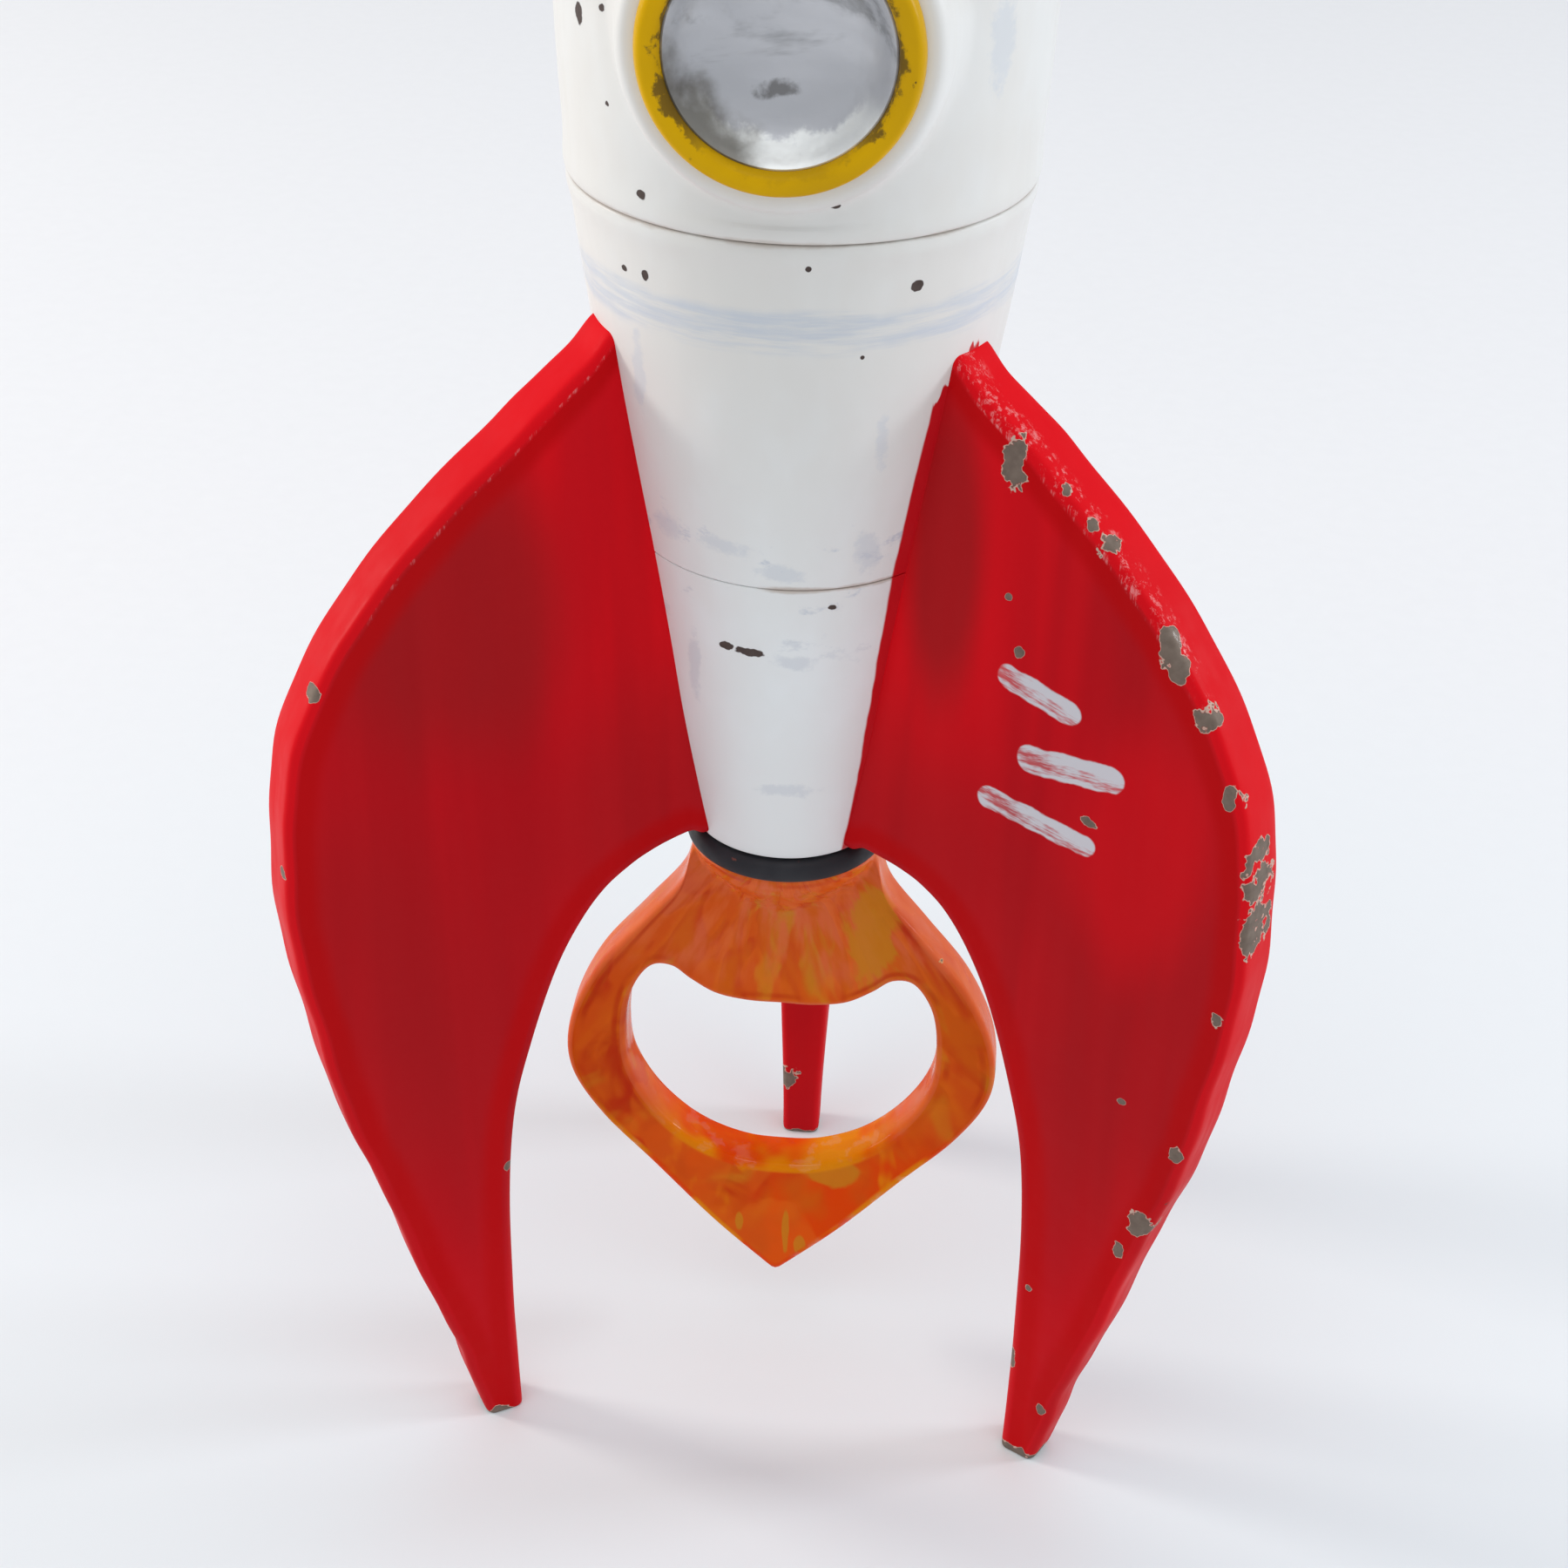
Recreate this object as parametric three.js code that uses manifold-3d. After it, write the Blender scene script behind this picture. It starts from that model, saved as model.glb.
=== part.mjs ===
// A standing rocket of cast and painted metal: three curved fins carry a tapering body,
// and the flame under its tail is a ring-shaped bottle opener. Millimetres, +Z up.
import * as THREE from "three";
import { mergeVertices } from "three/addons/utils/BufferGeometryUtils.js";
import Module from "manifold-3d";

const wasm = await Module();
wasm.setup();

// ---- Driving dimensions ----

const GAP = 0.3; // clearance between neighbouring pieces
const WALL = 3; // cast wall of the body
const EASE = 0.4; // small break on each body piece's edges
const ROUND = 44; // facets round the body

// Outside of the whole body: height, radius.
const HULL = [
  [78.4, 10.7],
  [85, 12],
  [95, 13.8],
  [105, 15.3],
  [115, 16.9],
  [125, 18.6],
  [135, 20.3],
  [144, 21.7],
  [153, 22.7],
  [162, 23.3],
  [171, 23.7],
  [180, 23.8],
  [189, 23.7],
  [197, 23.1],
  [206, 21.9],
  [216, 19.6],
  [226, 16.5],
  [236, 12.8],
  [246, 8.7],
  [254, 5.2],
  [260, 2.2],
];
const NOSE_TIP_Z = 261.5;
const TAIL_Z = 78.4;
const LOWER_SEAM_Z = 115;
const UPPER_SEAM_Z = 153.3;
const NOSE_SEAM_Z = 196.5;
const SEAM_LIP = 0.35; // how far the upper body stands proud at its lower edge
const SPIGOT = 4.5; // height of the ring that centres one body piece in the next
const SPIGOT_WALL = 1.8;
const NOSE_CAVITY_TOP_Z = 240;

// Porthole on the front: a raised boss, a ring on it and a shallow dish inside it.
const PORT_Z = 171.8;
const BOSS_FACE = 25.9; // from the body's axis
const BOSS_RADIUS = 14.4;
const RING_RADIUS = 12.5;
const RING_INNER = 9.7;
const RING_HEIGHT = 1.7;
const DISH_RADIUS = 10.3;
const DISH_SEAT = 22.9; // ledge that the dish rests on, from the axis
const PORT_BORE = 8.7;

// Fins: radius and height along the outer edge, from the root down to the foot.
const FIN_OUTER = [
  [16, 141.2],
  [21.5, 137.6],
  [27.2, 133],
  [35.8, 125.8],
  [45.7, 116.4],
  [53, 105.8],
  [56.6, 94],
  [57.2, 80.5],
  [55.3, 63.2],
  [50.4, 42.4],
  [43.6, 18.2],
  [38, -2],
];
const FIN_INNER = [
  [36.3, -2],
  [37, 20],
  [36.9, 35],
  [35.8, 47.6],
  [33.4, 57.2],
  [30.2, 66.2],
  [25.6, 74.4],
  [20.4, 78.6],
  [14.5, 80.3],
  [8, 81],
];
const FIN_THICK = 6.8;
const FIN_EDGE = 1.25; // rounding of the fin's edges
const FOOT_THICK = 5; // the fin narrows over its lowest part
const FOOT_TAPER_Z = 30;
// Each fin's turn about Z from the +X side. The front is -Y.
const FIN_TURNS = {
  fin_left: (-150 * Math.PI) / 180,
  fin_right: (-30 * Math.PI) / 180,
  fin_rear: (90 * Math.PI) / 180,
};

// Screws that hold each fin, driven outwards from inside the body.
const SCREW_HEIGHTS = { upper: 130, lower: 101 };
const SCREW_RADIUS = 1.5;
const SCREW_HEAD_RADIUS = 2.7;
const SCREW_HEAD = 1.8;
const SCREW_SOCKET = 1.3;
const SCREW_IN_FIN = 6;

// Collar and flame under the tail.
const COLLAR_LOW_Z = 75.3;
const COLLAR_RADIUS = 11.4;
const FLAME_THICK = 5.8;
const FLAME_EDGE = 1.1;
const FLAME_OUTLINE = [
  [10.3, 75],
  [10.9, 70.4],
  [14.5, 65],
  [19.6, 58.8],
  [23.2, 53],
  [25.2, 47.4],
  [25.6, 42.4],
  [24.3, 37.6],
  [21.3, 32.8],
  [17.4, 28.4],
  [12.8, 23],
  [8, 17.4],
  [3.4, 12],
];
const FLAME_TIP_Z = 9.4;
// Right half of the opener's hole, from its lowest point up to the middle of the lip.
const HOLE = [
  [0, 27.4],
  [5, 27.9],
  [10.4, 30.4],
  [15, 35],
  [17.9, 40.6],
  [18.5, 46.2],
  [17.8, 51.8],
  [15.8, 55.8],
  [13, 56.4],
  [10.6, 54.6],
  [7.6, 52.8],
  [3.8, 52.1],
];
const HOLE_MIDDLE_Z = 42;
const TANG_RADIUS = 5.5;
const TANG_FLAT = 4.1; // half the tang's width across its two flats
const TANG_TOP_Z = 88.5;

// Tie rod and what it clamps.
const ROD_RADIUS = 2.5;
const ROD_LOW_Z = 80;
const ROD_TOP_Z = 201;
const TAIL_FLOOR_Z = 90;
const BULKHEAD_Z = 187.8;
const BULKHEAD_THICK = 3;
const LEDGE = 3;
const WASHER_RADIUS = 6;
const WASHER_THICK = 1.4;
const NUT_FLATS = 4; // half the distance across the flats
const NUT_THICK = 4;

// ---- Shapes ----

// A closed geometry as a solid whose faces point outwards.
function solid(geometry) {
  geometry.deleteAttribute("normal");
  geometry.deleteAttribute("uv");
  const merged = mergeVertices(geometry, 1e-4);
  const corners = merged.index.array;
  const faces = [];
  for (let i = 0; i < corners.length; i += 3) {
    const [a, b, c] = corners.slice(i, i + 3);
    if (a !== b && b !== c && c !== a) faces.push([a, b, c]);
  }
  const build = (list) =>
    new wasm.Manifold(
      new wasm.Mesh({
        numProp: 3,
        vertProperties: merged.attributes.position.array,
        triVerts: new Uint32Array(list.flat()),
      }),
    );
  const made = build(faces);
  return made.volume() > 0 ? made : build(faces.map(([a, b, c]) => [a, c, b]));
}

// The geometry turned about Z from a closed outline of [radius, height] points.
function turned(outline, facets = ROUND) {
  const points = outline.map(([r, z]) => new THREE.Vector2(r, z));
  const onAxis = outline[0][0] === 0 && outline.at(-1)[0] === 0;
  if (!onAxis) points.push(points[0].clone());
  return new THREE.LatheGeometry(points, facets).rotateX(Math.PI / 2);
}

const tube = (inner, outer, low, high, facets = ROUND) =>
  turned([[inner, low], [outer, low], [outer, high], [inner, high]], facets);

const bar = (radius, low, high, facets = 24) =>
  turned([[0, low], [radius, low], [radius, high], [0, high]], facets);

// Lays a geometry that stands on Z so that its +Z points to the front, at the porthole.
const atPorthole = (geometry) => geometry.rotateX(Math.PI / 2).translate(0, 0, PORT_Z);

// A bar along +X between two distances from the body's axis.
const radialBar = (radius, near, far, z, facets = 16) =>
  bar(radius, near, far, facets).rotateY(Math.PI / 2).translate(0, 0, z);

// Outside radius of the body at a height: a smooth curve through its stations.
function hullRadius(z) {
  const last = HULL.length - 2;
  const above = HULL.findIndex(([h]) => h > z);
  const i = above < 0 ? last : Math.max(0, above - 1);
  const slope = (k) => {
    const [z0, r0] = HULL[Math.max(0, k - 1)];
    const [z1, r1] = HULL[Math.min(last + 1, k + 1)];
    return (r1 - r0) / (z1 - z0);
  };
  const [za, ra] = HULL[i];
  const [zb, rb] = HULL[i + 1];
  const span = zb - za;
  const t = (z - za) / span;
  const blend = t * t * (3 - 2 * t);
  const bend = span * t * (1 - t) * (slope(i) * (1 - t) - slope(i + 1) * t);
  return ra * (1 - blend) + rb * blend + bend;
}

// The body's outside between two heights, grown or shrunk by an offset.
function hullLine(low, high, offset, steps) {
  const line = [];
  for (let i = 0; i <= steps; i++) {
    const z = low + ((high - low) * i) / steps;
    line.push([hullRadius(z) + offset, z]);
  }
  return line;
}

// The ring above a seam's shoulder that fits inside the next body piece.
function spigot(low, high) {
  const outer = hullLine(low, high, -WALL - GAP, 2);
  const inner = hullLine(low, high, -WALL - GAP - SPIGOT_WALL, 2).reverse();
  return solid(turned([...outer, ...inner]));
}

// ---- Fins and their screws, on the +X side of the body ----

// The space a screw needs through the wall, to a stated depth outside it.
const screwSpace = (z, depth) =>
  radialBar(SCREW_RADIUS + GAP, 5, hullRadius(z) + depth, z);

function fin() {
  const curve = (points, steps) =>
    new THREE.SplineCurve(points.map(([r, z]) => new THREE.Vector2(r, z))).getPoints(steps);
  const outline = new THREE.Shape([...curve(FIN_OUTER, 30), ...curve(FIN_INNER, 24)]);
  const depth = FIN_THICK - 2 * FIN_EDGE;
  const plate = new THREE.ExtrudeGeometry(outline, {
    depth,
    bevelThickness: FIN_EDGE,
    bevelSize: FIN_EDGE,
    bevelSegments: 3,
  });
  plate.translate(0, 0, -depth / 2).rotateX(Math.PI / 2);

  // The root follows the body, a clearance away from it.
  const swollenHull = turned([
    [0, TAIL_Z - 1],
    ...hullLine(TAIL_Z, NOSE_SEAM_Z, GAP, 20),
    [0, NOSE_SEAM_Z],
  ]);
  const underground = new THREE.BoxGeometry(200, 50, 20).translate(0, 0, -10);
  const cuts = [swollenHull, underground];
  const lean = Math.atan((FIN_THICK - FOOT_THICK) / 2 / FOOT_TAPER_Z);
  for (const side of [-1, 1]) {
    const shaving = new THREE.BoxGeometry(200, 10, 80);
    shaving.translate(0, side * 5, 0).rotateX(-side * lean);
    cuts.push(shaving.translate(0, (side * FOOT_THICK) / 2, 0));
  }
  for (const z of Object.values(SCREW_HEIGHTS)) cuts.push(screwSpace(z, SCREW_IN_FIN + 1));
  return cuts.reduce((piece, cut) => piece.subtract(solid(cut)), solid(plate));
}

function finScrew(z) {
  const seat = hullRadius(z) - WALL - 3 * GAP;
  const top = seat - SCREW_HEAD;
  const shank = radialBar(SCREW_RADIUS, seat - 0.1, hullRadius(z) + SCREW_IN_FIN, z);
  const head = radialBar(SCREW_HEAD_RADIUS, top, seat, z, 20);
  const socket = radialBar(SCREW_SOCKET, top - 1, top + 1.1, z, 6);
  return solid(head).add(solid(shank)).subtract(solid(socket));
}

// Cuts the screw holes of all three fins through a body piece.
function drilled(body, z) {
  for (const turn of Object.values(FIN_TURNS))
    body = body.subtract(solid(screwSpace(z, 2).rotateZ(turn)));
  return body;
}

// ---- Body, from the tail up ----

function tailCone() {
  const top = LOWER_SEAM_Z - GAP / 2;
  const shell = turned([
    [0, TAIL_Z],
    [hullRadius(TAIL_Z) - EASE, TAIL_Z],
    ...hullLine(TAIL_Z + EASE, top - EASE, 0, 6),
    [hullRadius(top) - EASE, top],
    [hullRadius(top) - WALL - GAP - SPIGOT_WALL, top],
    ...hullLine(TAIL_FLOOR_Z, top - 2, -WALL, 3).reverse(),
    [0, TAIL_FLOOR_Z],
  ]);
  const ring = spigot(top - 1, top + SPIGOT);
  return drilled(solid(shell).add(ring).subtract(tangSpace()), SCREW_HEIGHTS.lower);
}

function midBody() {
  const low = LOWER_SEAM_Z + GAP / 2;
  const top = UPPER_SEAM_Z - GAP / 2;
  const shell = turned([
    [hullRadius(low) - EASE, low],
    ...hullLine(low + EASE, top - EASE, 0, 6),
    [hullRadius(top) - EASE, top],
    [hullRadius(top) - WALL - GAP - SPIGOT_WALL, top],
    ...hullLine(low, top - 2, -WALL, 4).reverse(),
  ]);
  return drilled(solid(shell).add(spigot(top - 1, top + SPIGOT)), SCREW_HEIGHTS.upper);
}

function upperBody() {
  const low = UPPER_SEAM_Z + GAP / 2;
  const top = NOSE_SEAM_Z - GAP / 2;
  const lip = hullRadius(low) + SEAM_LIP;
  const ledgeRadius = hullRadius(BULKHEAD_Z) - WALL - LEDGE;
  const ledgeLow = BULKHEAD_Z - 1.5;
  const shell = turned([
    [lip - EASE, low],
    [lip, low + EASE],
    [lip, low + 1.3],
    ...hullLine(low + 3, top - EASE, 0, 6),
    [hullRadius(top) - EASE, top],
    ...hullLine(BULKHEAD_Z, top, -WALL, 2).reverse(),
    [ledgeRadius, BULKHEAD_Z],
    [ledgeRadius, ledgeLow],
    ...hullLine(low, ledgeLow - LEDGE, -WALL, 4).reverse(),
  ]);
  const boss = atPorthole(
    turned([
      [0, 10],
      [BOSS_RADIUS + 1.2, 10],
      [BOSS_RADIUS + 1.2, BOSS_FACE - 6.4],
      [BOSS_RADIUS + 0.3, BOSS_FACE - 3.9],
      [BOSS_RADIUS, BOSS_FACE - 1.7],
      [BOSS_RADIUS - 0.4, BOSS_FACE - 0.7],
      [BOSS_RADIUS - 1.2, BOSS_FACE],
      [0, BOSS_FACE],
    ]),
  );
  const hollow = turned([[0, low], ...hullLine(low, BULKHEAD_Z, -WALL, 4), [0, BULKHEAD_Z]]);
  const seat = atPorthole(bar(DISH_RADIUS + GAP, DISH_SEAT, BOSS_FACE + 1, ROUND));
  const bore = atPorthole(bar(PORT_BORE, 10, BOSS_FACE + 1, ROUND));
  return solid(shell)
    .add(solid(boss).subtract(solid(hollow)))
    .subtract(solid(seat))
    .subtract(solid(bore));
}

function noseCone() {
  const low = NOSE_SEAM_Z + GAP / 2;
  const spigotRadius = hullRadius(low) - WALL - GAP;
  return solid(
    turned([
      [spigotRadius, low - SPIGOT],
      [spigotRadius, low],
      [hullRadius(low) - EASE, low],
      ...hullLine(low + EASE, NOSE_TIP_Z - 1.5, 0, 10),
      [1.4, NOSE_TIP_Z - 0.5],
      [0, NOSE_TIP_Z],
      [0, NOSE_CAVITY_TOP_Z],
      ...hullLine(low, NOSE_CAVITY_TOP_Z - 4, -WALL - SPIGOT_WALL, 5).reverse(),
      [spigotRadius - SPIGOT_WALL, low - SPIGOT],
    ]),
  );
}

// ---- Porthole ----

function portholeRing() {
  const base = BOSS_FACE + GAP;
  const section = [
    [RING_INNER + 0.2, base],
    [RING_RADIUS, base],
    [RING_RADIUS, base + 0.7],
    [RING_RADIUS - 0.4, base + 1.3],
    [RING_RADIUS - 1.2, base + RING_HEIGHT],
    [RING_INNER + 1, base + RING_HEIGHT - 0.1],
    [RING_INNER + 0.3, base + 1.1],
    [RING_INNER, base + 0.5],
  ];
  return solid(atPorthole(turned(section)));
}

function portholeDish() {
  const section = [
    [0, DISH_SEAT - 0.9],
    [6.4, DISH_SEAT - 0.6],
    [8.3, DISH_SEAT + GAP],
    [DISH_RADIUS, DISH_SEAT + GAP],
    [DISH_RADIUS, BOSS_FACE - 0.1],
    [DISH_RADIUS - 0.6, BOSS_FACE],
    [9.2, BOSS_FACE - 0.5],
    [8.5, BOSS_FACE - 1.3],
    [7.2, BOSS_FACE - 2],
    [5, BOSS_FACE - 2.4],
    [0, BOSS_FACE - 2.6],
  ];
  return solid(atPorthole(turned(section)));
}

// ---- Collar and flame ----

// A round bar with two flats, so that it can't turn in its hole.
function flattedBar(grow, low, high) {
  const flats = new THREE.BoxGeometry(40, 2 * (TANG_FLAT + grow), 400);
  return solid(bar(TANG_RADIUS + grow, low, high, 32)).intersect(solid(flats));
}

const tangSpace = () => flattedBar(GAP, COLLAR_LOW_Z - 5, TAIL_FLOOR_Z + 1);

function collar() {
  const top = TAIL_Z - GAP;
  const ring = turned([
    [0, COLLAR_LOW_Z],
    [COLLAR_RADIUS - 0.7, COLLAR_LOW_Z],
    [COLLAR_RADIUS, COLLAR_LOW_Z + 0.7],
    [COLLAR_RADIUS, top - 0.9],
    [COLLAR_RADIUS - 0.5, top],
    [0, top],
  ]);
  return solid(ring).subtract(tangSpace());
}

// The hole's whole edge, drawn back into the metal by the rounding of its edges.
function holeEdge() {
  const right = HOLE.map(([x, z]) => new THREE.Vector2(x, z));
  const left = right.slice(1).map((p) => new THREE.Vector2(-p.x, p.y)).reverse();
  const loop = new THREE.SplineCurve([...right, ...left, right[0]]).getPoints(60);
  const middle = new THREE.Vector2(0, HOLE_MIDDLE_Z);
  return loop.slice(0, -1).map((p) => {
    const outwards = p.clone().sub(middle).normalize();
    return p.addScaledVector(outwards, FLAME_EDGE);
  });
}

function flameOpener() {
  const right = FLAME_OUTLINE.map(([x, z]) => new THREE.Vector2(x - FLAME_EDGE, z));
  const left = right.map((p) => new THREE.Vector2(-p.x, p.y)).reverse();
  const shape = new THREE.Shape([
    right[0],
    ...new THREE.SplineCurve(right.slice(1)).getPoints(24),
    new THREE.Vector2(0, FLAME_TIP_Z + 1.5 * FLAME_EDGE),
    ...new THREE.SplineCurve(left.slice(0, -1)).getPoints(24),
    left.at(-1),
  ]);
  shape.holes.push(new THREE.Path(holeEdge()));
  const depth = FLAME_THICK - 2 * FLAME_EDGE;
  const plate = new THREE.ExtrudeGeometry(shape, {
    depth,
    bevelThickness: FLAME_EDGE,
    bevelSize: FLAME_EDGE,
    bevelSegments: 2,
  });
  plate.translate(0, 0, -depth / 2).rotateX(Math.PI / 2);

  const top = COLLAR_LOW_Z - GAP;
  const overTop = new THREE.BoxGeometry(60, 60, 20).translate(0, 0, top + 10);
  // The neck swells from the flat plate to the round collar above it.
  const neck = turned([
    [0, top - 9],
    [3, top - 9],
    [7.5, top - 5],
    [10, top - 1.8],
    [COLLAR_RADIUS - 0.9, top],
    [0, top],
  ]);
  const rodHole = bar(ROD_RADIUS + GAP, ROD_LOW_Z - 1, TANG_TOP_Z + 1);
  return solid(plate)
    .subtract(solid(overTop))
    .add(solid(neck))
    .add(flattedBar(0, top - 3, TANG_TOP_Z))
    .subtract(solid(rodHole));
}

// ---- Tie rod, its nuts and washers, and the bulkhead ----

const tieRod = () => solid(bar(ROD_RADIUS, ROD_LOW_Z, ROD_TOP_Z));

const washer = (low) =>
  solid(tube(ROD_RADIUS + GAP, WASHER_RADIUS, low, low + WASHER_THICK, 32));

function nut(low) {
  const acrossCorners = NUT_FLATS / Math.cos(Math.PI / 6);
  const hex = solid(bar(acrossCorners, low, low + NUT_THICK, 6));
  return hex.subtract(solid(bar(ROD_RADIUS + GAP, low - 1, low + NUT_THICK + 1)));
}

function bulkhead() {
  const radius = hullRadius(BULKHEAD_Z + BULKHEAD_THICK) - WALL - GAP;
  const low = BULKHEAD_Z + GAP;
  return solid(tube(ROD_RADIUS + GAP, radius, low, low + BULKHEAD_THICK));
}

// ---- The scene graph ----

const WHITE = { color: 0xe4e1d8, roughness: 0.42, metalness: 0 };
const RED = { color: 0xb3141c, roughness: 0.35, metalness: 0 };
const YELLOW = { color: 0xd9a511, roughness: 0.35, metalness: 0 };
const SILVER = { color: 0xa9abae, roughness: 0.4, metalness: 0.8 };
const CHARCOAL = { color: 0x2b2e35, roughness: 0.45, metalness: 0 };
const FLAME = { color: 0xcf4f12, roughness: 0.28, metalness: 0 };
const STEEL = { color: 0x8f9296, roughness: 0.35, metalness: 1 };
const IRON = { color: 0x77797c, roughness: 0.55, metalness: 1 };

function piece(name, body, finish) {
  const { numProp, vertProperties, triVerts } = body.getMesh();
  const corners = new THREE.InterleavedBuffer(vertProperties, numProp);
  const geometry = new THREE.BufferGeometry();
  geometry.setAttribute("position", new THREE.InterleavedBufferAttribute(corners, 3, 0));
  geometry.setIndex(new THREE.BufferAttribute(triVerts, 1));
  const mesh = new THREE.Mesh(geometry, new THREE.MeshStandardMaterial(finish));
  mesh.name = name;
  return mesh;
}

const rocket = new THREE.Group();
rocket.add(
  piece("nose_cone", noseCone(), RED),
  piece("upper_body", upperBody(), WHITE),
  piece("mid_body", midBody(), WHITE),
  piece("tail_cone", tailCone(), WHITE),
  piece("porthole_ring", portholeRing(), YELLOW),
  piece("porthole_dish", portholeDish(), SILVER),
  piece("collar", collar(), CHARCOAL),
  piece("flame_opener", flameOpener(), FLAME),
);

const tailWasherZ = TAIL_FLOOR_Z + GAP;
const noseWasherZ = BULKHEAD_Z + BULKHEAD_THICK + 2 * GAP;
const nutAbove = WASHER_THICK + GAP;
rocket.add(
  piece("tie_rod", tieRod(), STEEL),
  piece("tail_washer", washer(tailWasherZ), STEEL),
  piece("tail_nut", nut(tailWasherZ + nutAbove), STEEL),
  piece("bulkhead", bulkhead(), IRON),
  piece("nose_washer", washer(noseWasherZ), STEEL),
  piece("nose_nut", nut(noseWasherZ + nutAbove), STEEL),
);

for (const [name, turn] of Object.entries(FIN_TURNS)) {
  const side = new THREE.Group();
  side.rotation.z = turn;
  side.add(piece(name, fin(), RED));
  for (const [level, z] of Object.entries(SCREW_HEIGHTS))
    side.add(piece(`${name}_screw_${level}`, finScrew(z), STEEL));
  rocket.add(side);
}

// The origin is the middle of the bounding box's base, which lies behind the body's axis
// because one fin points straight back and two point forwards and outwards.
const box = new THREE.Box3().setFromObject(rocket, true);
rocket.position.y = -(box.min.y + box.max.y) / 2;

const part = new THREE.Group();
part.add(rocket);
export default part;
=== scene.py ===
# %% [markdown]
# # A painted rocket that opens bottles
# The object is a small standing rocket, cast in metal and painted by hand. Three curved fins
# carry a tapering body, and the flame under its tail is a ring that opens bottles.
# This lesson builds its looks around a fixed engineering model, the frame. The frame says where
# each piece is and how big it is. Here each visible piece is made again with soft edges, a boss
# that grows out of the body, and paint that has brush strokes, pits and chips.

# %% Load the frame
import math

import bmesh
import bpy
from mathutils import Matrix, Vector


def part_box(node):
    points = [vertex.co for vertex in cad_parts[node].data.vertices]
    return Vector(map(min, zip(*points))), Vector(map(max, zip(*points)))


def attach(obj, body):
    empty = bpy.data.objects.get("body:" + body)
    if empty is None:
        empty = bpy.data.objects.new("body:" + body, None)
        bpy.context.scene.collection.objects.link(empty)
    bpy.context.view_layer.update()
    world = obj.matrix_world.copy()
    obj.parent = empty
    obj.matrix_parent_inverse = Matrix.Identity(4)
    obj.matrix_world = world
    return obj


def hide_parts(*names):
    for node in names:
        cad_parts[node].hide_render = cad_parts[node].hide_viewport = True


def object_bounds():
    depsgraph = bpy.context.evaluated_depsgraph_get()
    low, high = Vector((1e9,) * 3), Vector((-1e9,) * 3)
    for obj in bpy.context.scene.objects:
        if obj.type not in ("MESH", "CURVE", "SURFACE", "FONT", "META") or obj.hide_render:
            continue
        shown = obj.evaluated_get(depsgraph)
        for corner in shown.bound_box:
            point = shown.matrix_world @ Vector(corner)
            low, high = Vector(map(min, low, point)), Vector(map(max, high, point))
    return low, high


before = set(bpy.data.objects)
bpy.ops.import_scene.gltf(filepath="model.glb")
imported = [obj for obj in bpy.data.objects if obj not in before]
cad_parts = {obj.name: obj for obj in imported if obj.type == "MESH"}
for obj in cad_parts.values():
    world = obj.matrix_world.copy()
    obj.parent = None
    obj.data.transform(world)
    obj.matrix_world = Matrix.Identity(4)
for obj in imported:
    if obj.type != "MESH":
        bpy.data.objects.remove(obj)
cad_low, cad_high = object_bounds()
MM = 0.001
print("frame", len(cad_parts), "nodes, height", round((cad_high.z - cad_low.z) / MM, 1), "mm")

# %% [markdown]
# ## Where things are
# Every size comes from the frame or from a few driving dimensions. The collar is round, so the
# middle of its box is the axis of the body. The ring's box gives the middle of the porthole.
# Outlines are written in millimetres from the body's axis, and one function puts them in place.

# %% Places measured on the frame
collar_low, collar_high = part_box("collar")
ring_low, ring_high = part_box("porthole_ring")
dish_low, dish_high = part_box("porthole_dish")
AXIS = Vector(((collar_low.x + collar_high.x) / 2, (collar_low.y + collar_high.y) / 2, 0))
COLLAR_LOW = collar_low.z / MM
COLLAR_HIGH = collar_high.z / MM
COLLAR_RADIUS = (collar_high.x - collar_low.x) / 2 / MM
PORT_Z = (ring_low.z + ring_high.z) / 2 / MM
PORT_FRONT = (AXIS.y - ring_low.y) / MM
RING_RADIUS = (ring_high.x - ring_low.x) / 2 / MM
BOSS_FACE = (AXIS.y - dish_low.y) / MM
TIP_Z = cad_high.z / MM
LOWER_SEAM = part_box("mid_body")[0].z / MM
UPPER_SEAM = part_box("upper_body")[0].z / MM
TAIL_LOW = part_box("tail_cone")[0].z / MM
FIN_TURN = {"fin_left": -150.0, "fin_right": -30.0, "fin_rear": 90.0}
print("axis y", round(AXIS.y / MM, 2), "porthole z", round(PORT_Z, 1), "seams", LOWER_SEAM, UPPER_SEAM)


def at(x, y, z):
    """A point in millimetres from the body's axis, in the frame's metres."""
    return Vector((x * MM + AXIS.x, y * MM + AXIS.y, z * MM))


def mm(*values):
    """Millimetres in metres, for a material's sockets."""
    return tuple(value * MM for value in values)


# %% [markdown]
# ## Smooth outlines
# A cast piece has no straight edges. A Catmull-Rom curve passes through every point it is given,
# so a short list of measured points makes a smooth outline, with nothing to fit by hand.

# %% A smooth curve through a few points
def smooth_line(points, steps):
    """Points on a smooth curve through the given points, which may have any number of values."""
    first = [2 * a - b for a, b in zip(points[0], points[1])]
    last = [2 * a - b for a, b in zip(points[-1], points[-2])]
    knots = [first, *points, last]
    line = []
    for before, start, end, after in zip(knots, knots[1:], knots[2:], knots[3:]):
        for step in range(steps):
            t = step / steps
            line.append([
                b + t * (c - a) / 2 + t**2 * (2 * a - 5 * b + 4 * c - d) / 2
                + t**3 * (3 * b - a - 3 * c + d) / 2
                for a, b, c, d in zip(before, start, end, after)
            ])
    line.append(list(points[-1]))
    return line


def ease(value):
    """0 below 0, 1 above 1, and a smooth step between."""
    t = min(1.0, max(0.0, value))
    return t * t * (3 - 2 * t)


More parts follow.
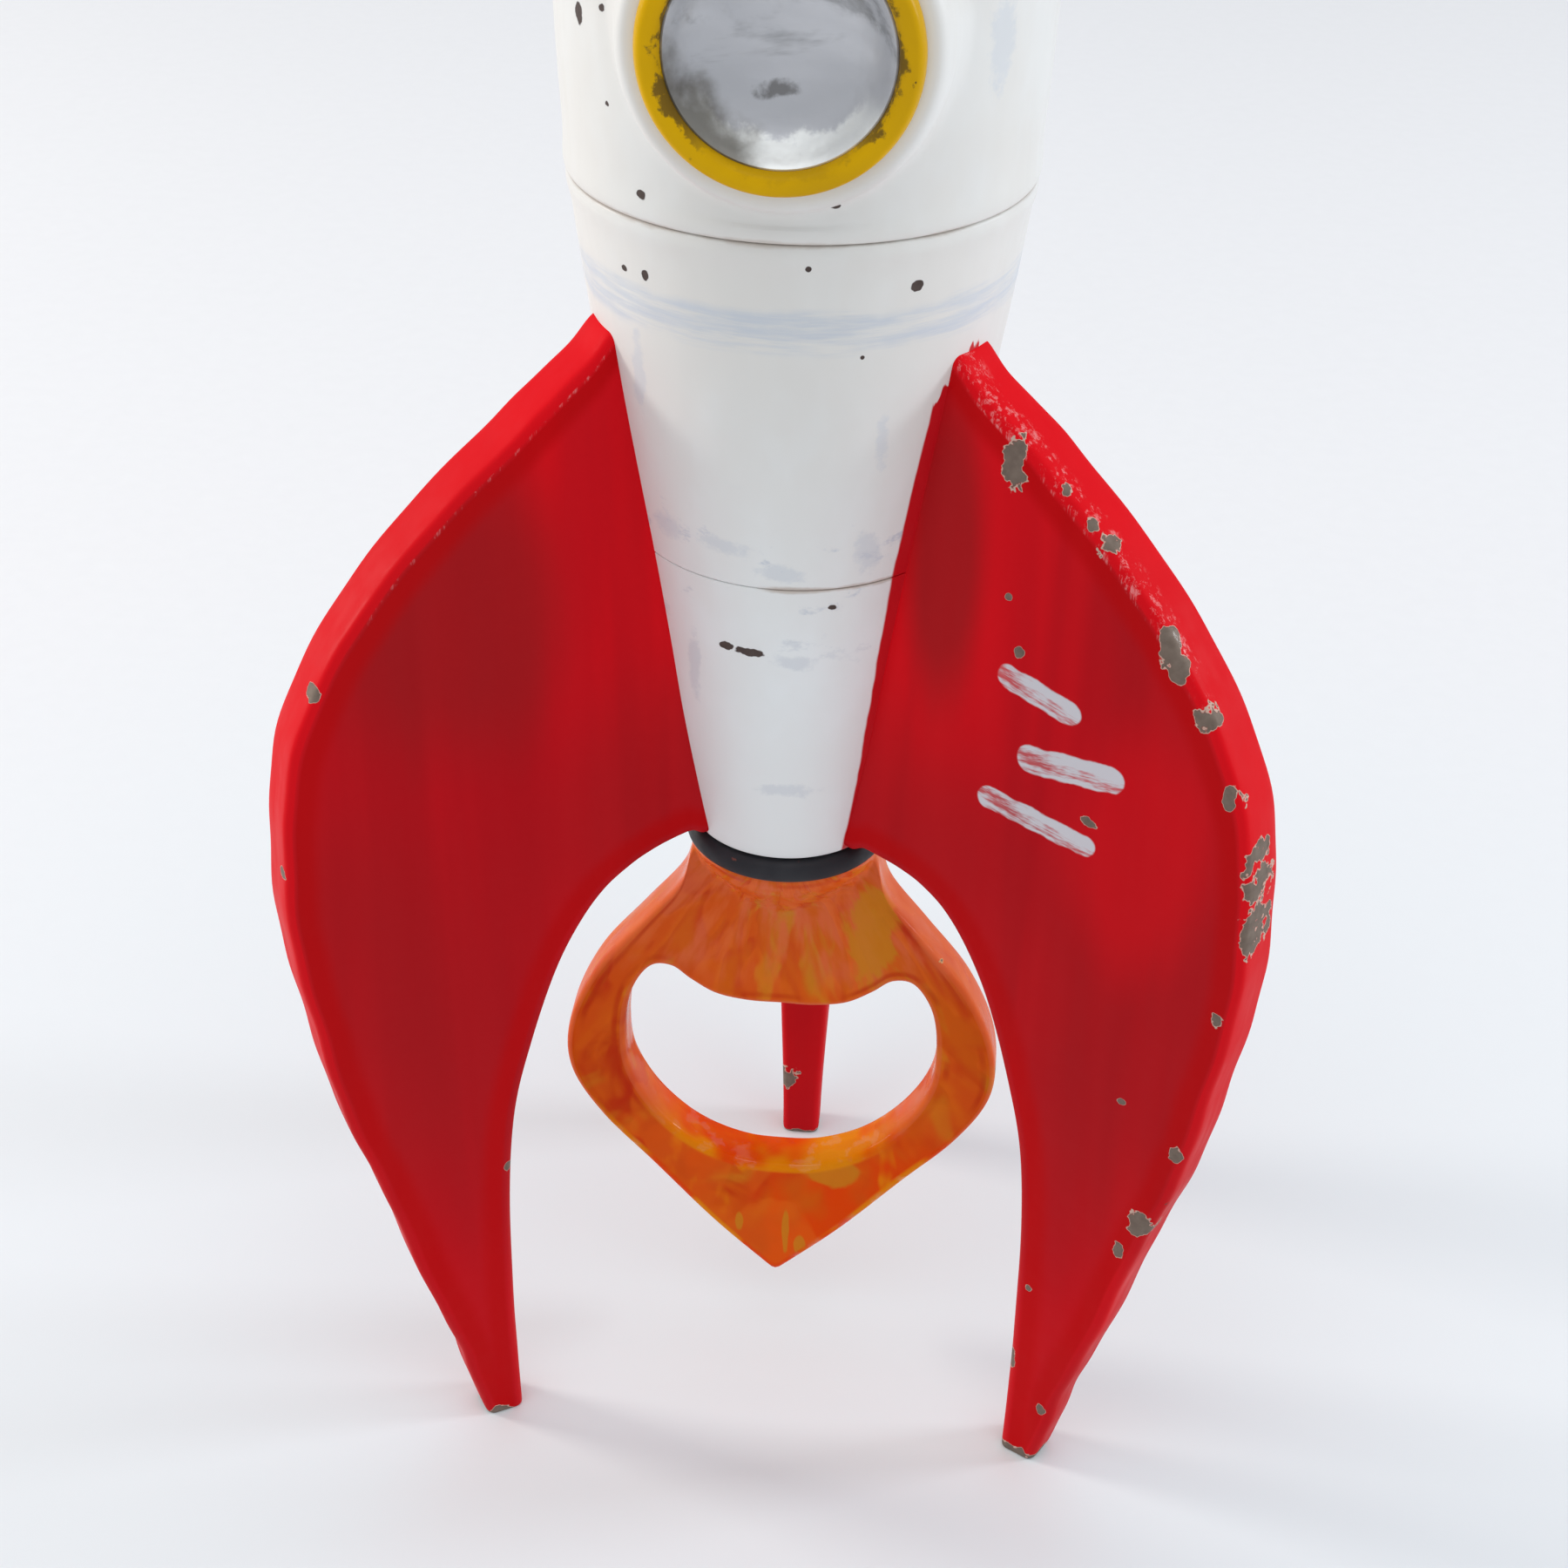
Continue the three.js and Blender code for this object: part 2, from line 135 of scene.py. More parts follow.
# Height and radius of the body's outside, from the tail to the nose.
HULL = [
    (78.4, 10.7), (85, 12.0), (95, 13.8), (105, 15.3), (115, 16.9), (135, 20.3), (153, 22.7),
    (171, 23.7), (189, 23.7), (206, 21.9), (216, 19.6), (226, 16.5), (236, 12.8), (246, 8.7),
    (254, 5.2), (260, 2.2),
]
hull_line = smooth_line(HULL, 8)


def hull_radius(z):
    """Radius of the body's outside at a height, in millimetres."""
    for (z0, r0), (z1, r1) in zip(hull_line, hull_line[1:]):
        if z <= z1:
            return r0 + (r1 - r0) * (z - z0) / (z1 - z0)
    return hull_line[-1][1]


print("widest body", round(2 * max(r for z, r in hull_line), 1), "mm across")

# %% [markdown]
# ## Finishing a piece
# Each piece ends the same way: doubled points are merged, the faces are turned outwards, and the
# mesh gets smooth shading with sharp edges kept where two faces meet at a steep angle. One level
# of subdivision rounds it off. Then it rides on the one body of this part and stands for its node
# of the frame.

# %% From mesh data to a finished piece
SAME_POINT = 0.002
SHARP_ANGLE = 40.0


def finish_piece(bm, name, paint):
    """Turns bmesh data into the piece that stands for a frame node."""
    bmesh.ops.remove_doubles(bm, verts=bm.verts, dist=SAME_POINT * MM)
    bmesh.ops.recalc_face_normals(bm, faces=bm.faces)
    mesh = bpy.data.meshes.new(name)
    bm.to_mesh(mesh)
    bm.free()
    mesh.shade_smooth()
    mesh.set_sharp_from_angle(angle=math.radians(SHARP_ANGLE))
    piece = bpy.data.objects.new(name, mesh)
    bpy.context.scene.collection.objects.link(piece)
    mesh.materials.append(paint)
    finer = piece.modifiers.new("finer", "SUBSURF")
    finer.levels = 1
    finer.render_levels = 1
    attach(piece, "root")
    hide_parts(name.replace("_shape", ""))
    print(piece.name, len(mesh.polygons), "faces")


# %% [markdown]
# ## Building blocks for the paints
# Every finish here is paint on metal, with the same few effects: strokes left by the brush,
# small pits where the metal shows, and chips. Each effect is a node group with named inputs, so
# that it is built once and used with other values on each paint. Groups give out only masks,
# colours and heights, and each material keeps its own Principled shader.

# %% Helpers that put nodes in a tree
def put(tree, kind, inputs=None, **settings):
    """A new node, with its inputs set to values or linked to sockets."""
    made = tree.nodes.new(kind)
    for name, value in settings.items():
        setattr(made, name, value)
    for name, value in (inputs or {}).items():
        if isinstance(value, bpy.types.NodeSocket):
            tree.links.new(value, made.inputs[name])
        else:
            made.inputs[name].default_value = value
    return made


def maths(tree, operation, *values, clamp=False):
    """The result of a Math node."""
    made = put(tree, "ShaderNodeMath", dict(enumerate(values)), operation=operation)
    made.use_clamp = clamp
    return made.outputs[0]


def fade(tree, value, start, end, low=0.0, high=1.0):
    """A smooth step of value between start and end."""
    inputs = {"Value": value, "From Min": start, "From Max": end, "To Min": low, "To Max": high}
    made = put(tree, "ShaderNodeMapRange", inputs, interpolation_type="SMOOTHSTEP")
    return made.outputs["Result"]


def mix(tree, factor, first, second):
    """Two colours mixed by a factor."""
    made = put(tree, "ShaderNodeMix", {"Factor": factor}, data_type="RGBA")
    for socket, value in ((made.inputs[6], first), (made.inputs[7], second)):
        if isinstance(value, bpy.types.NodeSocket):
            tree.links.new(value, socket)
        else:
            socket.default_value = (*value, 1.0)
    return made.outputs[2]


def spread(tree, vector, scale, stretch=(1, 1, 1), detail=3.0, rough=0.55, warp=0.0, turn=(0, 0, 0)):
    """Noise from 0 to 1 on a stretched copy of the coordinates."""
    placed = put(tree, "ShaderNodeMapping", {"Vector": vector, "Scale": stretch, "Rotation": turn})
    inputs = {"Vector": placed.outputs[0], "Scale": scale, "Detail": detail, "Roughness": rough,
              "Distortion": warp}
    return put(tree, "ShaderNodeTexNoise", inputs).outputs["Fac"]


def times(tree, *values):
    """The product of masks and numbers."""
    product = values[0]
    for value in values[1:]:
        product = maths(tree, "MULTIPLY", product, value)
    return product


def plus(tree, *values):
    """The sum of heights, masks and numbers."""
    total = values[0]
    for value in values[1:]:
        total = maths(tree, "ADD", total, value)
    return total


def hypotenuse(tree, first, second):
    """The root of the sum of two squares."""
    squares = plus(tree, times(tree, first, first), times(tree, second, second))
    return maths(tree, "POWER", squares, 0.5)


def swing(tree, vector, scale, amount, stretch=(1, 1, 1), detail=3.0, rough=0.55):
    """Noise that swings to half an amount either side of zero."""
    noise = spread(tree, vector, scale, stretch, detail, rough)
    return times(tree, maths(tree, "SUBTRACT", noise, 0.5), amount)


def moved_to(tree, vector, middle):
    """Coordinates counted from a middle, which is in metres."""
    place_m = tuple(-value for value in middle)
    return put(tree, "ShaderNodeMapping", {"Vector": vector, "Location": place_m}).outputs[0]


def stretched(tree, vector, scale):
    """Coordinates multiplied along each axis. A small number draws a pattern out."""
    return put(tree, "ShaderNodeMapping", {"Vector": vector, "Scale": scale}).outputs[0]


def split(tree, vector):
    """The outputs X, Y and Z of coordinates."""
    return put(tree, "ShaderNodeSeparateXYZ", {"Vector": vector}).outputs


def new_group(name, inputs, outputs):
    """An empty node group: (tree, input node, output node)."""
    tree = bpy.data.node_groups.new(name, "ShaderNodeTree")
    for label, kind, value in inputs:
        socket = tree.interface.new_socket(label, in_out="INPUT", socket_type="NodeSocket" + kind)
        if value is not None:
            socket.default_value = value
    for label, kind in outputs:
        tree.interface.new_socket(label, in_out="OUTPUT", socket_type="NodeSocket" + kind)
    return tree, put(tree, "NodeGroupInput").outputs, put(tree, "NodeGroupOutput").inputs


def place(tree, group, **inputs):
    """Puts a group in a tree and returns its outputs. Underscores in names stand for spaces."""
    made = put(tree, "ShaderNodeGroup", node_tree=group)
    for name, value in inputs.items():
        socket = made.inputs[name.replace("_", " ")]
        if isinstance(value, bpy.types.NodeSocket):
            tree.links.new(value, socket)
        else:
            socket.default_value = value
    return made.outputs


# %% [markdown]
# ### Brush strokes
# A brush leaves fine ridges along its stroke and lays the colour on unevenly. Noise that is
# stretched a lot along one axis looks like this. The group gives a fine streak and a broad one.

# %% The group for brush strokes
strokes, given, gives = new_group(
    "Brush strokes",
    [("Vector", "Vector", None), ("Fineness", "Float", 600.0)],
    [("Fine", "Float"), ("Broad", "Float"), ("Height", "Float")],
)
fine = put(strokes, "ShaderNodeTexNoise",
           {"Vector": given["Vector"], "Scale": given["Fineness"], "Detail": 3.0})
broad_scale = times(strokes, given["Fineness"], 0.22)
broad = put(strokes, "ShaderNodeTexNoise",
            {"Vector": given["Vector"], "Scale": broad_scale, "Detail": 2.0, "Distortion": 0.6})
strokes.links.new(fine.outputs["Fac"], gives["Fine"])
strokes.links.new(fade(strokes, broad.outputs["Fac"], 0.32, 0.68), gives["Broad"])
ridges = plus(strokes, times(strokes, fine.outputs["Fac"], 0.4), broad.outputs["Fac"])
strokes.links.new(ridges, gives["Height"])

# %% [markdown]
# ### Pits
# Small dark pits are scattered over all the painted metal. A Voronoi texture divides space into
# cells, and each cell has its own random colour. Only some cells get a pit, and its size is
# random too. A little noise on the coordinates makes the pits ragged.

# %% The group for pits
PIT_RAGGED = 0.9
pits, given, gives = new_group(
    "Paint pits",
    [("Vector", "Vector", None), ("Density", "Float", 120.0), ("Share", "Float", 0.2),
     ("Size", "Float", 0.12)],
    [("Pit", "Float"), ("Height", "Float")],
)
ragged = put(pits, "ShaderNodeTexNoise", {"Vector": given["Vector"], "Scale": 1400.0, "Detail": 2.0})
shift = put(pits, "ShaderNodeVectorMath", {0: ragged.outputs["Color"], 1: (0.5, 0.5, 0.5)},
            operation="SUBTRACT")
shift = put(pits, "ShaderNodeVectorMath", {0: shift.outputs[0], "Scale": PIT_RAGGED * MM},
            operation="SCALE")
moved = put(pits, "ShaderNodeVectorMath", {0: given["Vector"], 1: shift.outputs[0]},
            operation="ADD")
cells = put(pits, "ShaderNodeTexVoronoi", {"Vector": moved.outputs[0], "Scale": given["Density"]})
chance = put(pits, "ShaderNodeSeparateColor", {"Color": cells.outputs["Color"]})
chosen = maths(pits, "LESS_THAN", chance.outputs["Red"], given["Share"])
reach = times(pits, given["Size"],
              plus(pits, 0.35, maths(pits, "POWER", chance.outputs["Green"], 2.0)))
near = maths(pits, "SUBTRACT", 1.0, maths(pits, "DIVIDE", cells.outputs["Distance"], reach))
pit = times(pits, chosen, fade(pits, near, 0.0, 0.22))
pits.links.new(pit, gives["Pit"])
pits.links.new(times(pits, pit, -1.0), gives["Height"])

# %% [markdown]
# ### Chips
# Paint chips off where the object is knocked. Each chip is placed as a ball of space in which the
# paint is gone, and the balls are chained: the group keeps the smallest level it has met, where a
# level under 1 is inside a chip. Noise on the level makes the outline ragged. A second group turns
# the level into bare metal, a pale lip of broken paint and a height.

# %% The groups for chips
NO_CHIP = 10.0
CHIP_RAGGED = 2.75
chip_at, given, gives = new_group(
    "Chip at",
    [("Vector", "Vector", None), ("Level", "Float", NO_CHIP), ("Centre", "Vector", None),
     ("Size", "Vector", (0.002, 0.002, 0.002))],
    [("Level", "Float")],
)
offset = put(chip_at, "ShaderNodeVectorMath", {0: given["Vector"], 1: given["Centre"]},
             operation="SUBTRACT")
scaled = put(chip_at, "ShaderNodeVectorMath", {0: offset.outputs[0], 1: given["Size"]},
             operation="DIVIDE")
length = put(chip_at, "ShaderNodeVectorMath", {0: scaled.outputs[0]}, operation="LENGTH")
chip_at.links.new(maths(chip_at, "MINIMUM", given["Level"], length.outputs["Value"]),
                  gives["Level"])

chip_edge, given, gives = new_group(
    "Chip edge",
    [("Vector", "Vector", None), ("Level", "Float", NO_CHIP)],
    [("Bare", "Float"), ("Lip", "Float"), ("Height", "Float")],
)
torn = swing(chip_edge, given["Vector"], 420.0, CHIP_RAGGED, rough=0.6)
level = plus(chip_edge, given["Level"], torn)
bare = fade(chip_edge, level, 1.0, 0.93)
lip = maths(chip_edge, "SUBTRACT", fade(chip_edge, level, 1.1, 1.02), bare, clamp=True)
chip_edge.links.new(bare, gives["Bare"])
chip_edge.links.new(lip, gives["Lip"])
chip_edge.links.new(maths(chip_edge, "SUBTRACT", times(chip_edge, lip, 0.25), bare),
                    gives["Height"])
print("node groups:", [group.name for group in bpy.data.node_groups])

# %% [markdown]
# ## Red paint for the fins
# The fins have a strong red with darker and lighter strokes along each blade. A deeper red line
# runs just inside the edges, and the top of the outer edge carries painted highlights: pale glints
# mixed into the red. The fin's mesh carries a value named rim_mm: the distance to the nearest edge
# on the flat faces, and 0 on the walls round them. The paint reads it. Chips that reach bare iron
# sit mostly on the outer edge.

# %% Bare metal, chips and daubs, which every paint shares
IRON_DARK = (0.115, 0.085, 0.068)
IRON_PALE = (0.27, 0.215, 0.175)
CHIP_LIP = (0.58, 0.42, 0.34)
PIT_BROWN = (0.045, 0.03, 0.026)


def new_paint(name):
    """An empty material: (material, its tree, Object coordinates)."""
    paint = bpy.data.materials.new(name)
    paint.use_nodes = True
    paint.node_tree.nodes.clear()
    return paint, paint.node_tree, put(paint.node_tree, "ShaderNodeTexCoord").outputs["Object"]


def bare_iron(tree, vector, dark=IRON_DARK, pale=IRON_PALE):
    """The mottled grey brown of bare cast iron."""
    return mix(tree, spread(tree, vector, 900.0, detail=4.0), dark, pale)


def chip_level(tree, vector, spots):
    """The level that a chain of chips leaves. A spot is a centre and a size."""
    level = NO_CHIP
    for centre, size in spots:
        level = place(tree, chip_at, Vector=vector, Level=level, Centre=centre, Size=size)["Level"]
    return level


def daub(tree, colour, vector, spot, shade, ragged, gone_at, full_at, weight):
    """Lays a daub of another shade over a colour, full inside one level and gone at another."""
    near = plus(tree, chip_level(tree, vector, [spot]), ragged)
    return mix(tree, fade(tree, near, gone_at, full_at, 0.0, weight), colour, shade)


def worn_paint(tree, vector, colour, level, gloss, bumps, lip_colour=CHIP_LIP, shine=0.3,
               varnish=0.0, metal=(IRON_DARK, IRON_PALE)):
    """Joins a paint's colour to its chips, and makes the material's shader. Varnish is a mask."""
    chip = place(tree, chip_edge, Vector=vector, Level=level)
    painted = mix(tree, chip["Lip"], colour, lip_colour)
    seen = mix(tree, chip["Bare"], painted, bare_iron(tree, vector, *metal))
    rough = maths(tree, "MAXIMUM", gloss, times(tree, chip["Bare"], 0.62))
    height = plus(tree, bumps, times(tree, chip["Height"], 1.6))
    bump = put(tree, "ShaderNodeBump", {"Height": height, "Strength": 0.55, "Distance": 0.12 * MM})
    shader = put(tree, "ShaderNodeBsdfPrincipled",
                 {"Base Color": seen, "Roughness": rough, "Normal": bump.outputs[0],
                  "Metallic": times(tree, chip["Bare"], 0.35),
                  "Specular IOR Level": shine, "Coat Weight": varnish, "Coat Roughness": 0.14})
    tree.links.new(shader.outputs[0], put(tree, "ShaderNodeOutputMaterial").inputs[0])


# %% Reds and their places on a fin
RED_MID = (0.56, 0.004, 0.010)
RED_DEEP = (0.40, 0.003, 0.008)
RED_BRIGHT = (0.76, 0.004, 0.010)
RED_DUSK = (0.33, 0.010, 0.012)
RED_LINE = (0.50, 0.0, 0.001)
RED_PAINTED_GLINT = (0.92, 0.42, 0.42)
PIT_RED = (0.16, 0.06, 0.05)
STROKE_LEAN = -14.0
STROKE_STRETCH = (1, 1, 0.07)
OUTER_RADIUS = (37.0, 39.0)
SHOULDER = (82.0, 86.0)
PAINTED_WALL_LIGHT_RISE = (30.0, 80.0)
PAINTED_GLINTS_RISE = (108.0, 122.0)
FAR_FROM_RIM = 9.0


def turned_to_fin(tree, vector, turn):
    """Coordinates in which a fin stands along +X from the body's axis."""
    inputs = {"Vector": moved_to(tree, vector, AXIS), "Angle": math.radians(-turn)}
    return put(tree, "ShaderNodeVectorRotate", inputs, rotation_type="Z_AXIS").outputs[0]


def red_coat(tree, along, brushed):
    """The red itself: two reds in patches, with darker strokes and broad dusky parts."""
    patches = spread(tree, along, 34.0, (1, 1, 0.55), detail=1.5)
    colour = mix(tree, fade(tree, patches, 0.36, 0.66), RED_MID, RED_BRIGHT)
    colour = mix(tree, times(tree, brushed["Broad"], 0.5), colour, RED_DEEP)
    dusk = spread(tree, along, 21.0, (1, 1, 0.7), detail=1.0, turn=(0.3, 0.5, 0))
    return mix(tree, times(tree, fade(tree, dusk, 0.4, 0.66), 0.45), colour, RED_DUSK)


def rim_reds(tree, colour, sides, rim):
    """A deeper line inside the edges, and painted light: a brighter red on the outer wall, more of it
    higher up.
    """
    inside = times(tree, fade(tree, rim, 1.0, 1.5), fade(tree, rim, 4.6, 2.6))
    colour = mix(tree, times(tree, inside, 0.7), colour, RED_LINE)
    # Painted light: the walls of the outer edge and of the top are painted a brighter red, less of it
    # low down.
    outer = maths(tree, "MAXIMUM", fade(tree, sides["X"], *mm(*OUTER_RADIUS)),
                  fade(tree, sides["Z"], *mm(*SHOULDER)))
    outer = times(tree, outer, fade(tree, sides["Z"], *mm(*PAINTED_WALL_LIGHT_RISE), 0.2, 1.0))
    painted_light_on_rim = times(tree, outer, fade(tree, rim, 1.4, 0.7, 0.0, 0.75))
    return mix(tree, painted_light_on_rim, colour, RED_BRIGHT)


def painted_edge_glints(tree, along, slanted, sides, rim, on_wall):
    """Painted highlights on the top of the outer edge: broken pale spots on its corner and its wall.
    """
    corner = times(tree, fade(tree, rim, 1.35, 1.15), fade(tree, rim, 0.85, 1.05))
    front_half = fade(tree, sides["Y"], *mm(-0.2, -1.6), 0.0, on_wall)
    wall = times(tree, fade(tree, rim, 1.0, 0.7), front_half)
    at_edge = maths(tree, "ADD", corner, wall, clamp=True)
    high_up = fade(tree, sides["Z"], *mm(*PAINTED_GLINTS_RISE))
    streaks = fade(tree, spread(tree, slanted, 900.0, detail=5.0, rough=0.8), 0.5, 0.62)
    spots = fade(tree, spread(tree, along, 900.0, detail=3.0, rough=0.7), 0.42, 0.56)
    return times(tree, at_edge, high_up, streaks, spots)


# %% The red paint of one piece
def red_paint(name, turn, chips, marks=(), painted_light_and_shade=(), painted_glint=0.0, painted_glint_on_wall=0.0, has_rim=True):
    """Red paint: chips, and patches of painted light and shade, at (radius, side, height) with sizes,
    pale brush marks and painted glints.
    """
    paint, tree, vector = new_paint(name)
    along = turned_to_fin(tree, vector, turn)
    sides = split(tree, along)
    slanted = put(tree, "ShaderNodeMapping",
                  {"Vector": along, "Rotation": (0, math.radians(STROKE_LEAN), 0),
                   "Scale": STROKE_STRETCH}).outputs[0]
    brushed = place(tree, strokes, Vector=slanted, Fineness=520.0)
    rim = FAR_FROM_RIM
    if has_rim:
        rim = put(tree, "ShaderNodeAttribute", attribute_name="rim_mm").outputs["Fac"]
    colour = red_coat(tree, along, brushed)
    # Patches of painted light and shade laid over the red.
    ragged = swing(tree, slanted, 90.0, 0.8)
    for centre, size, shade, weight in painted_light_and_shade:
        colour = daub(tree, colour, along, (centre, size), shade, ragged, 1.25, 0.5, weight)
    colour = rim_reds(tree, colour, sides, rim)
    for mark in marks:
        colour = brush_mark(tree, along, colour, *mark)
    specks = place(tree, pits, Vector=along, Density=150.0, Share=0.05, Size=0.14)
    colour = mix(tree, specks["Pit"], colour, PIT_RED)
    # Painted highlights: pale glints on the top of the outer edge. The same mask also makes the paint
    # glossier and varnished there.
    painted_glints_and_gloss = painted_edge_glints(tree, along, slanted, sides, rim, painted_glint_on_wall)
    colour = mix(tree, times(tree, painted_glints_and_gloss, painted_glint), colour, RED_PAINTED_GLINT)
    gloss = maths(tree, "SUBTRACT", fade(tree, brushed["Fine"], 0.3, 0.7, 0.42, 0.56),
                  times(tree, painted_glints_and_gloss, 0.25))
    ripples = times(tree, spread(tree, along, 150.0, detail=2.0), 3.0)
    bumps = plus(tree, times(tree, brushed["Height"], 0.35), ripples)
    worn_paint(tree, along, colour, chip_level(tree, along, chips), gloss, bumps, shine=0.05,
               varnish=times(tree, painted_glints_and_gloss, 0.6))
    return paint


# %% [markdown]
# ### Pale marks brushed on a fin
# The right fin has a little white paint on it, laid on with an almost dry brush. Here it is only
# three plain bars. A bar is a box of space with soft round ends, and streaky noise along the bar
# lets the red show through.

# %% A dry-brushed bar
PALE_MARK = (0.66, 0.67, 0.71)
MARK_EDGE = 0.25
MARK_WOBBLE = 1.1


def brush_mark(tree, along, colour, centre, turn, half_length, half_width):
    """Lays one pale bar over a colour, in the plane of a fin."""
    inputs = {"Vector": moved_to(tree, along, centre), "Angle": math.radians(turn)}
    laid = put(tree, "ShaderNodeVectorRotate", inputs, rotation_type="Y_AXIS").outputs[0]
    sides = split(tree, laid)
    wobble = swing(tree, laid, 260.0, MARK_WOBBLE * MM)
    across = plus(tree, maths(tree, "ABSOLUTE", sides["Z"]), wobble)
    beyond = maths(tree, "SUBTRACT", maths(tree, "ABSOLUTE", sides["X"]), half_length)
    far = hypotenuse(tree, across, maths(tree, "MAXIMUM", 0.0, beyond))
    shape = fade(tree, far, half_width, half_width - MARK_EDGE * MM)
    front = fade(tree, sides["Y"], *mm(1, -1))
    dry = spread(tree, laid, 700.0, (0.16, 1, 1), detail=4.0, rough=0.7)
    return mix(tree, times(tree, shape, front, fade(tree, dry, 0.36, 0.5, 0.15, 0.96)), colour,
               PALE_MARK)


# %% [markdown]
# ## White paint for the body
# The body is an uneven warm white, cooler towards the tail, with grey blue touches of an older
# coat, dark pits and faint upright strokes. Where a fin meets the body the red laps over onto the
# white and ends in bristle marks. A group works that out from the angle of each fin: red where a
# point is close to the fin's middle plane and below the top of its root. Spread makes the red
# wider or narrower on both sides of the plane, and Front widens it on one side only.

# %% The group for red paint that laps onto the body
FIN_HALF = 3.4
ROOT_TOP = 138.6
LAP_TOP = ROOT_TOP + 1.6
LAP_FOOT = (77.0, 79.0)
LAP_WIDENS = (76.0, 124.0)
BRISTLE_LENGTH = 5.0
lap, given, gives = new_group(
    "Red lap",
    [("Vector", "Vector", None), ("Angle", "Float", 0.0), ("Spread", "Float", 0.3 * MM),
     ("Front", "Float", 0.0)],
    [("Red", "Float")],
)
turned = put(lap, "ShaderNodeVectorRotate", {"Vector": given["Vector"], "Angle": given["Angle"]},
             rotation_type="Z_AXIS").outputs[0]
sides = split(lap, turned)
off_plane = plus(lap, maths(lap, "ABSOLUTE", sides["Y"]), swing(lap, turned, 75.0, 1.6 * MM))
widening = fade(lap, sides["Z"], *mm(*LAP_WIDENS), 0.2, 1.0)
front_side = fade(lap, sides["Y"], *mm(0.5, -0.5))
widest = plus(lap, given["Spread"], times(lap, given["Front"], widening, front_side), FIN_HALF * MM)
bristles = swing(lap, turned, 800.0, BRISTLE_LENGTH * MM, (1, 1, 0.22), detail=2.0)
above = plus(lap, maths(lap, "SUBTRACT", sides["Z"], LAP_TOP * MM), bristles)
near_top = maths(lap, "MAXIMUM", 0.0, plus(lap, above, BRISTLE_LENGTH * MM))
red_side = fade(lap, plus(lap, off_plane, times(lap, near_top, 0.9)), widest,
                maths(lap, "SUBTRACT", widest, 0.3 * MM))
red = times(lap, red_side, fade(lap, above, 0.5 * MM, 0.0), fade(lap, sides["X"], *mm(0, 2)),
            fade(lap, sides["Z"], *mm(*LAP_FOOT)))
lap.links.new(red, gives["Red"])

# %% Whites and greys, and the places of daubs and pits
WHITE_WARM = (0.765, 0.755, 0.72)
WHITE_STREAK = (0.73, 0.72, 0.69)
WHITE_COOL = (0.85, 0.89, 0.90)
WHITE_GREY = (0.60, 0.645, 0.70)
SEAM_BROWN = (0.50, 0.42, 0.36)
PIT_PALE = (0.12, 0.09, 0.08)
LIP_GREY = (0.5, 0.5, 0.5)
COOL_FROM = (150.0, 95.0)
DAUBS_RISE = (100.0, 116.0)
DAUBS_END = (128.0, 122.0)
BAND_Z = 144.5
LAP_SPREAD = {"fin_left": -1.3, "fin_right": 0.3, "fin_rear": 0.3}
LAP_FRONT = {"fin_left": 0.0, "fin_right": 2.0, "fin_rear": 0.0}
# Each seam: its height, how strong its brown line is, and how far to the left the line begins.
SEAM_LINES = [(UPPER_SEAM, 0.5, -30.0), (LOWER_SEAM, 0.75, -3.0)]
GREY_DAUBS = [
    (mm(-11.5, -14.0, 120.0), mm(2.2, 4, 1.6)), (mm(-5.5, -16.9, 119.6), mm(3.6, 3, 1.3)),
    (mm(0.5, -17.2, 117.2), mm(3.0, 3, 1.2)), (mm(8.4, -15.6, 119.2), mm(1.4, 3, 3.0)),
    (mm(9.6, -15.6, 132.5), mm(0.7, 3, 4.5)), (mm(-9.0, -12.5, 103.0), mm(0.8, 3, 5.0)),
    (mm(1.5, -13.8, 106.0), mm(3.0, 3, 1.0)), (mm(18.5, -14.5, 170.0), mm(1.6, 3, 5.0)),
    (mm(1.0, -11.6, 88.5), mm(3.4, 3, 1.0)), (mm(-14.0, -15.0, 137.0), mm(0.8, 3, 5.5)),
]
BODY_PITS = [
    (mm(-5.6, -14.6, 107.1), mm(0.7, 3, 0.4)), (mm(-2.8, -15.3, 106.9), mm(1.3, 3, 0.5)),
    (mm(12.3, -18.4, 148.6), mm(0.45, 2, 0.5)), (mm(-12.9, -17.9, 147.9), mm(0.35, 2, 0.45)),
    (mm(-15.1, -16.1, 147.8), mm(0.3, 2, 0.3)), (mm(-13.0, -18.8, 156.1), mm(0.45, 2, 0.4)),
    (mm(4.9, -22.5, 157.4), mm(0.4, 2, 0.3)), (mm(2.6, -22.3, 151.2), mm(0.3, 2, 0.3)),
    (mm(7.6, -19.9, 141.8), mm(0.25, 2, 0.25)), (mm(5.3, -15.7, 112.9), mm(0.4, 2, 0.3)),
    (mm(-16.3, -16.7, 163.5), mm(0.3, 2, 0.35)), (mm(-19.1, -14.0, 170.7), mm(0.35, 2, 0.9)),
    (mm(-16.6, -16.9, 172.1), mm(0.35, 2, 0.4)),
]


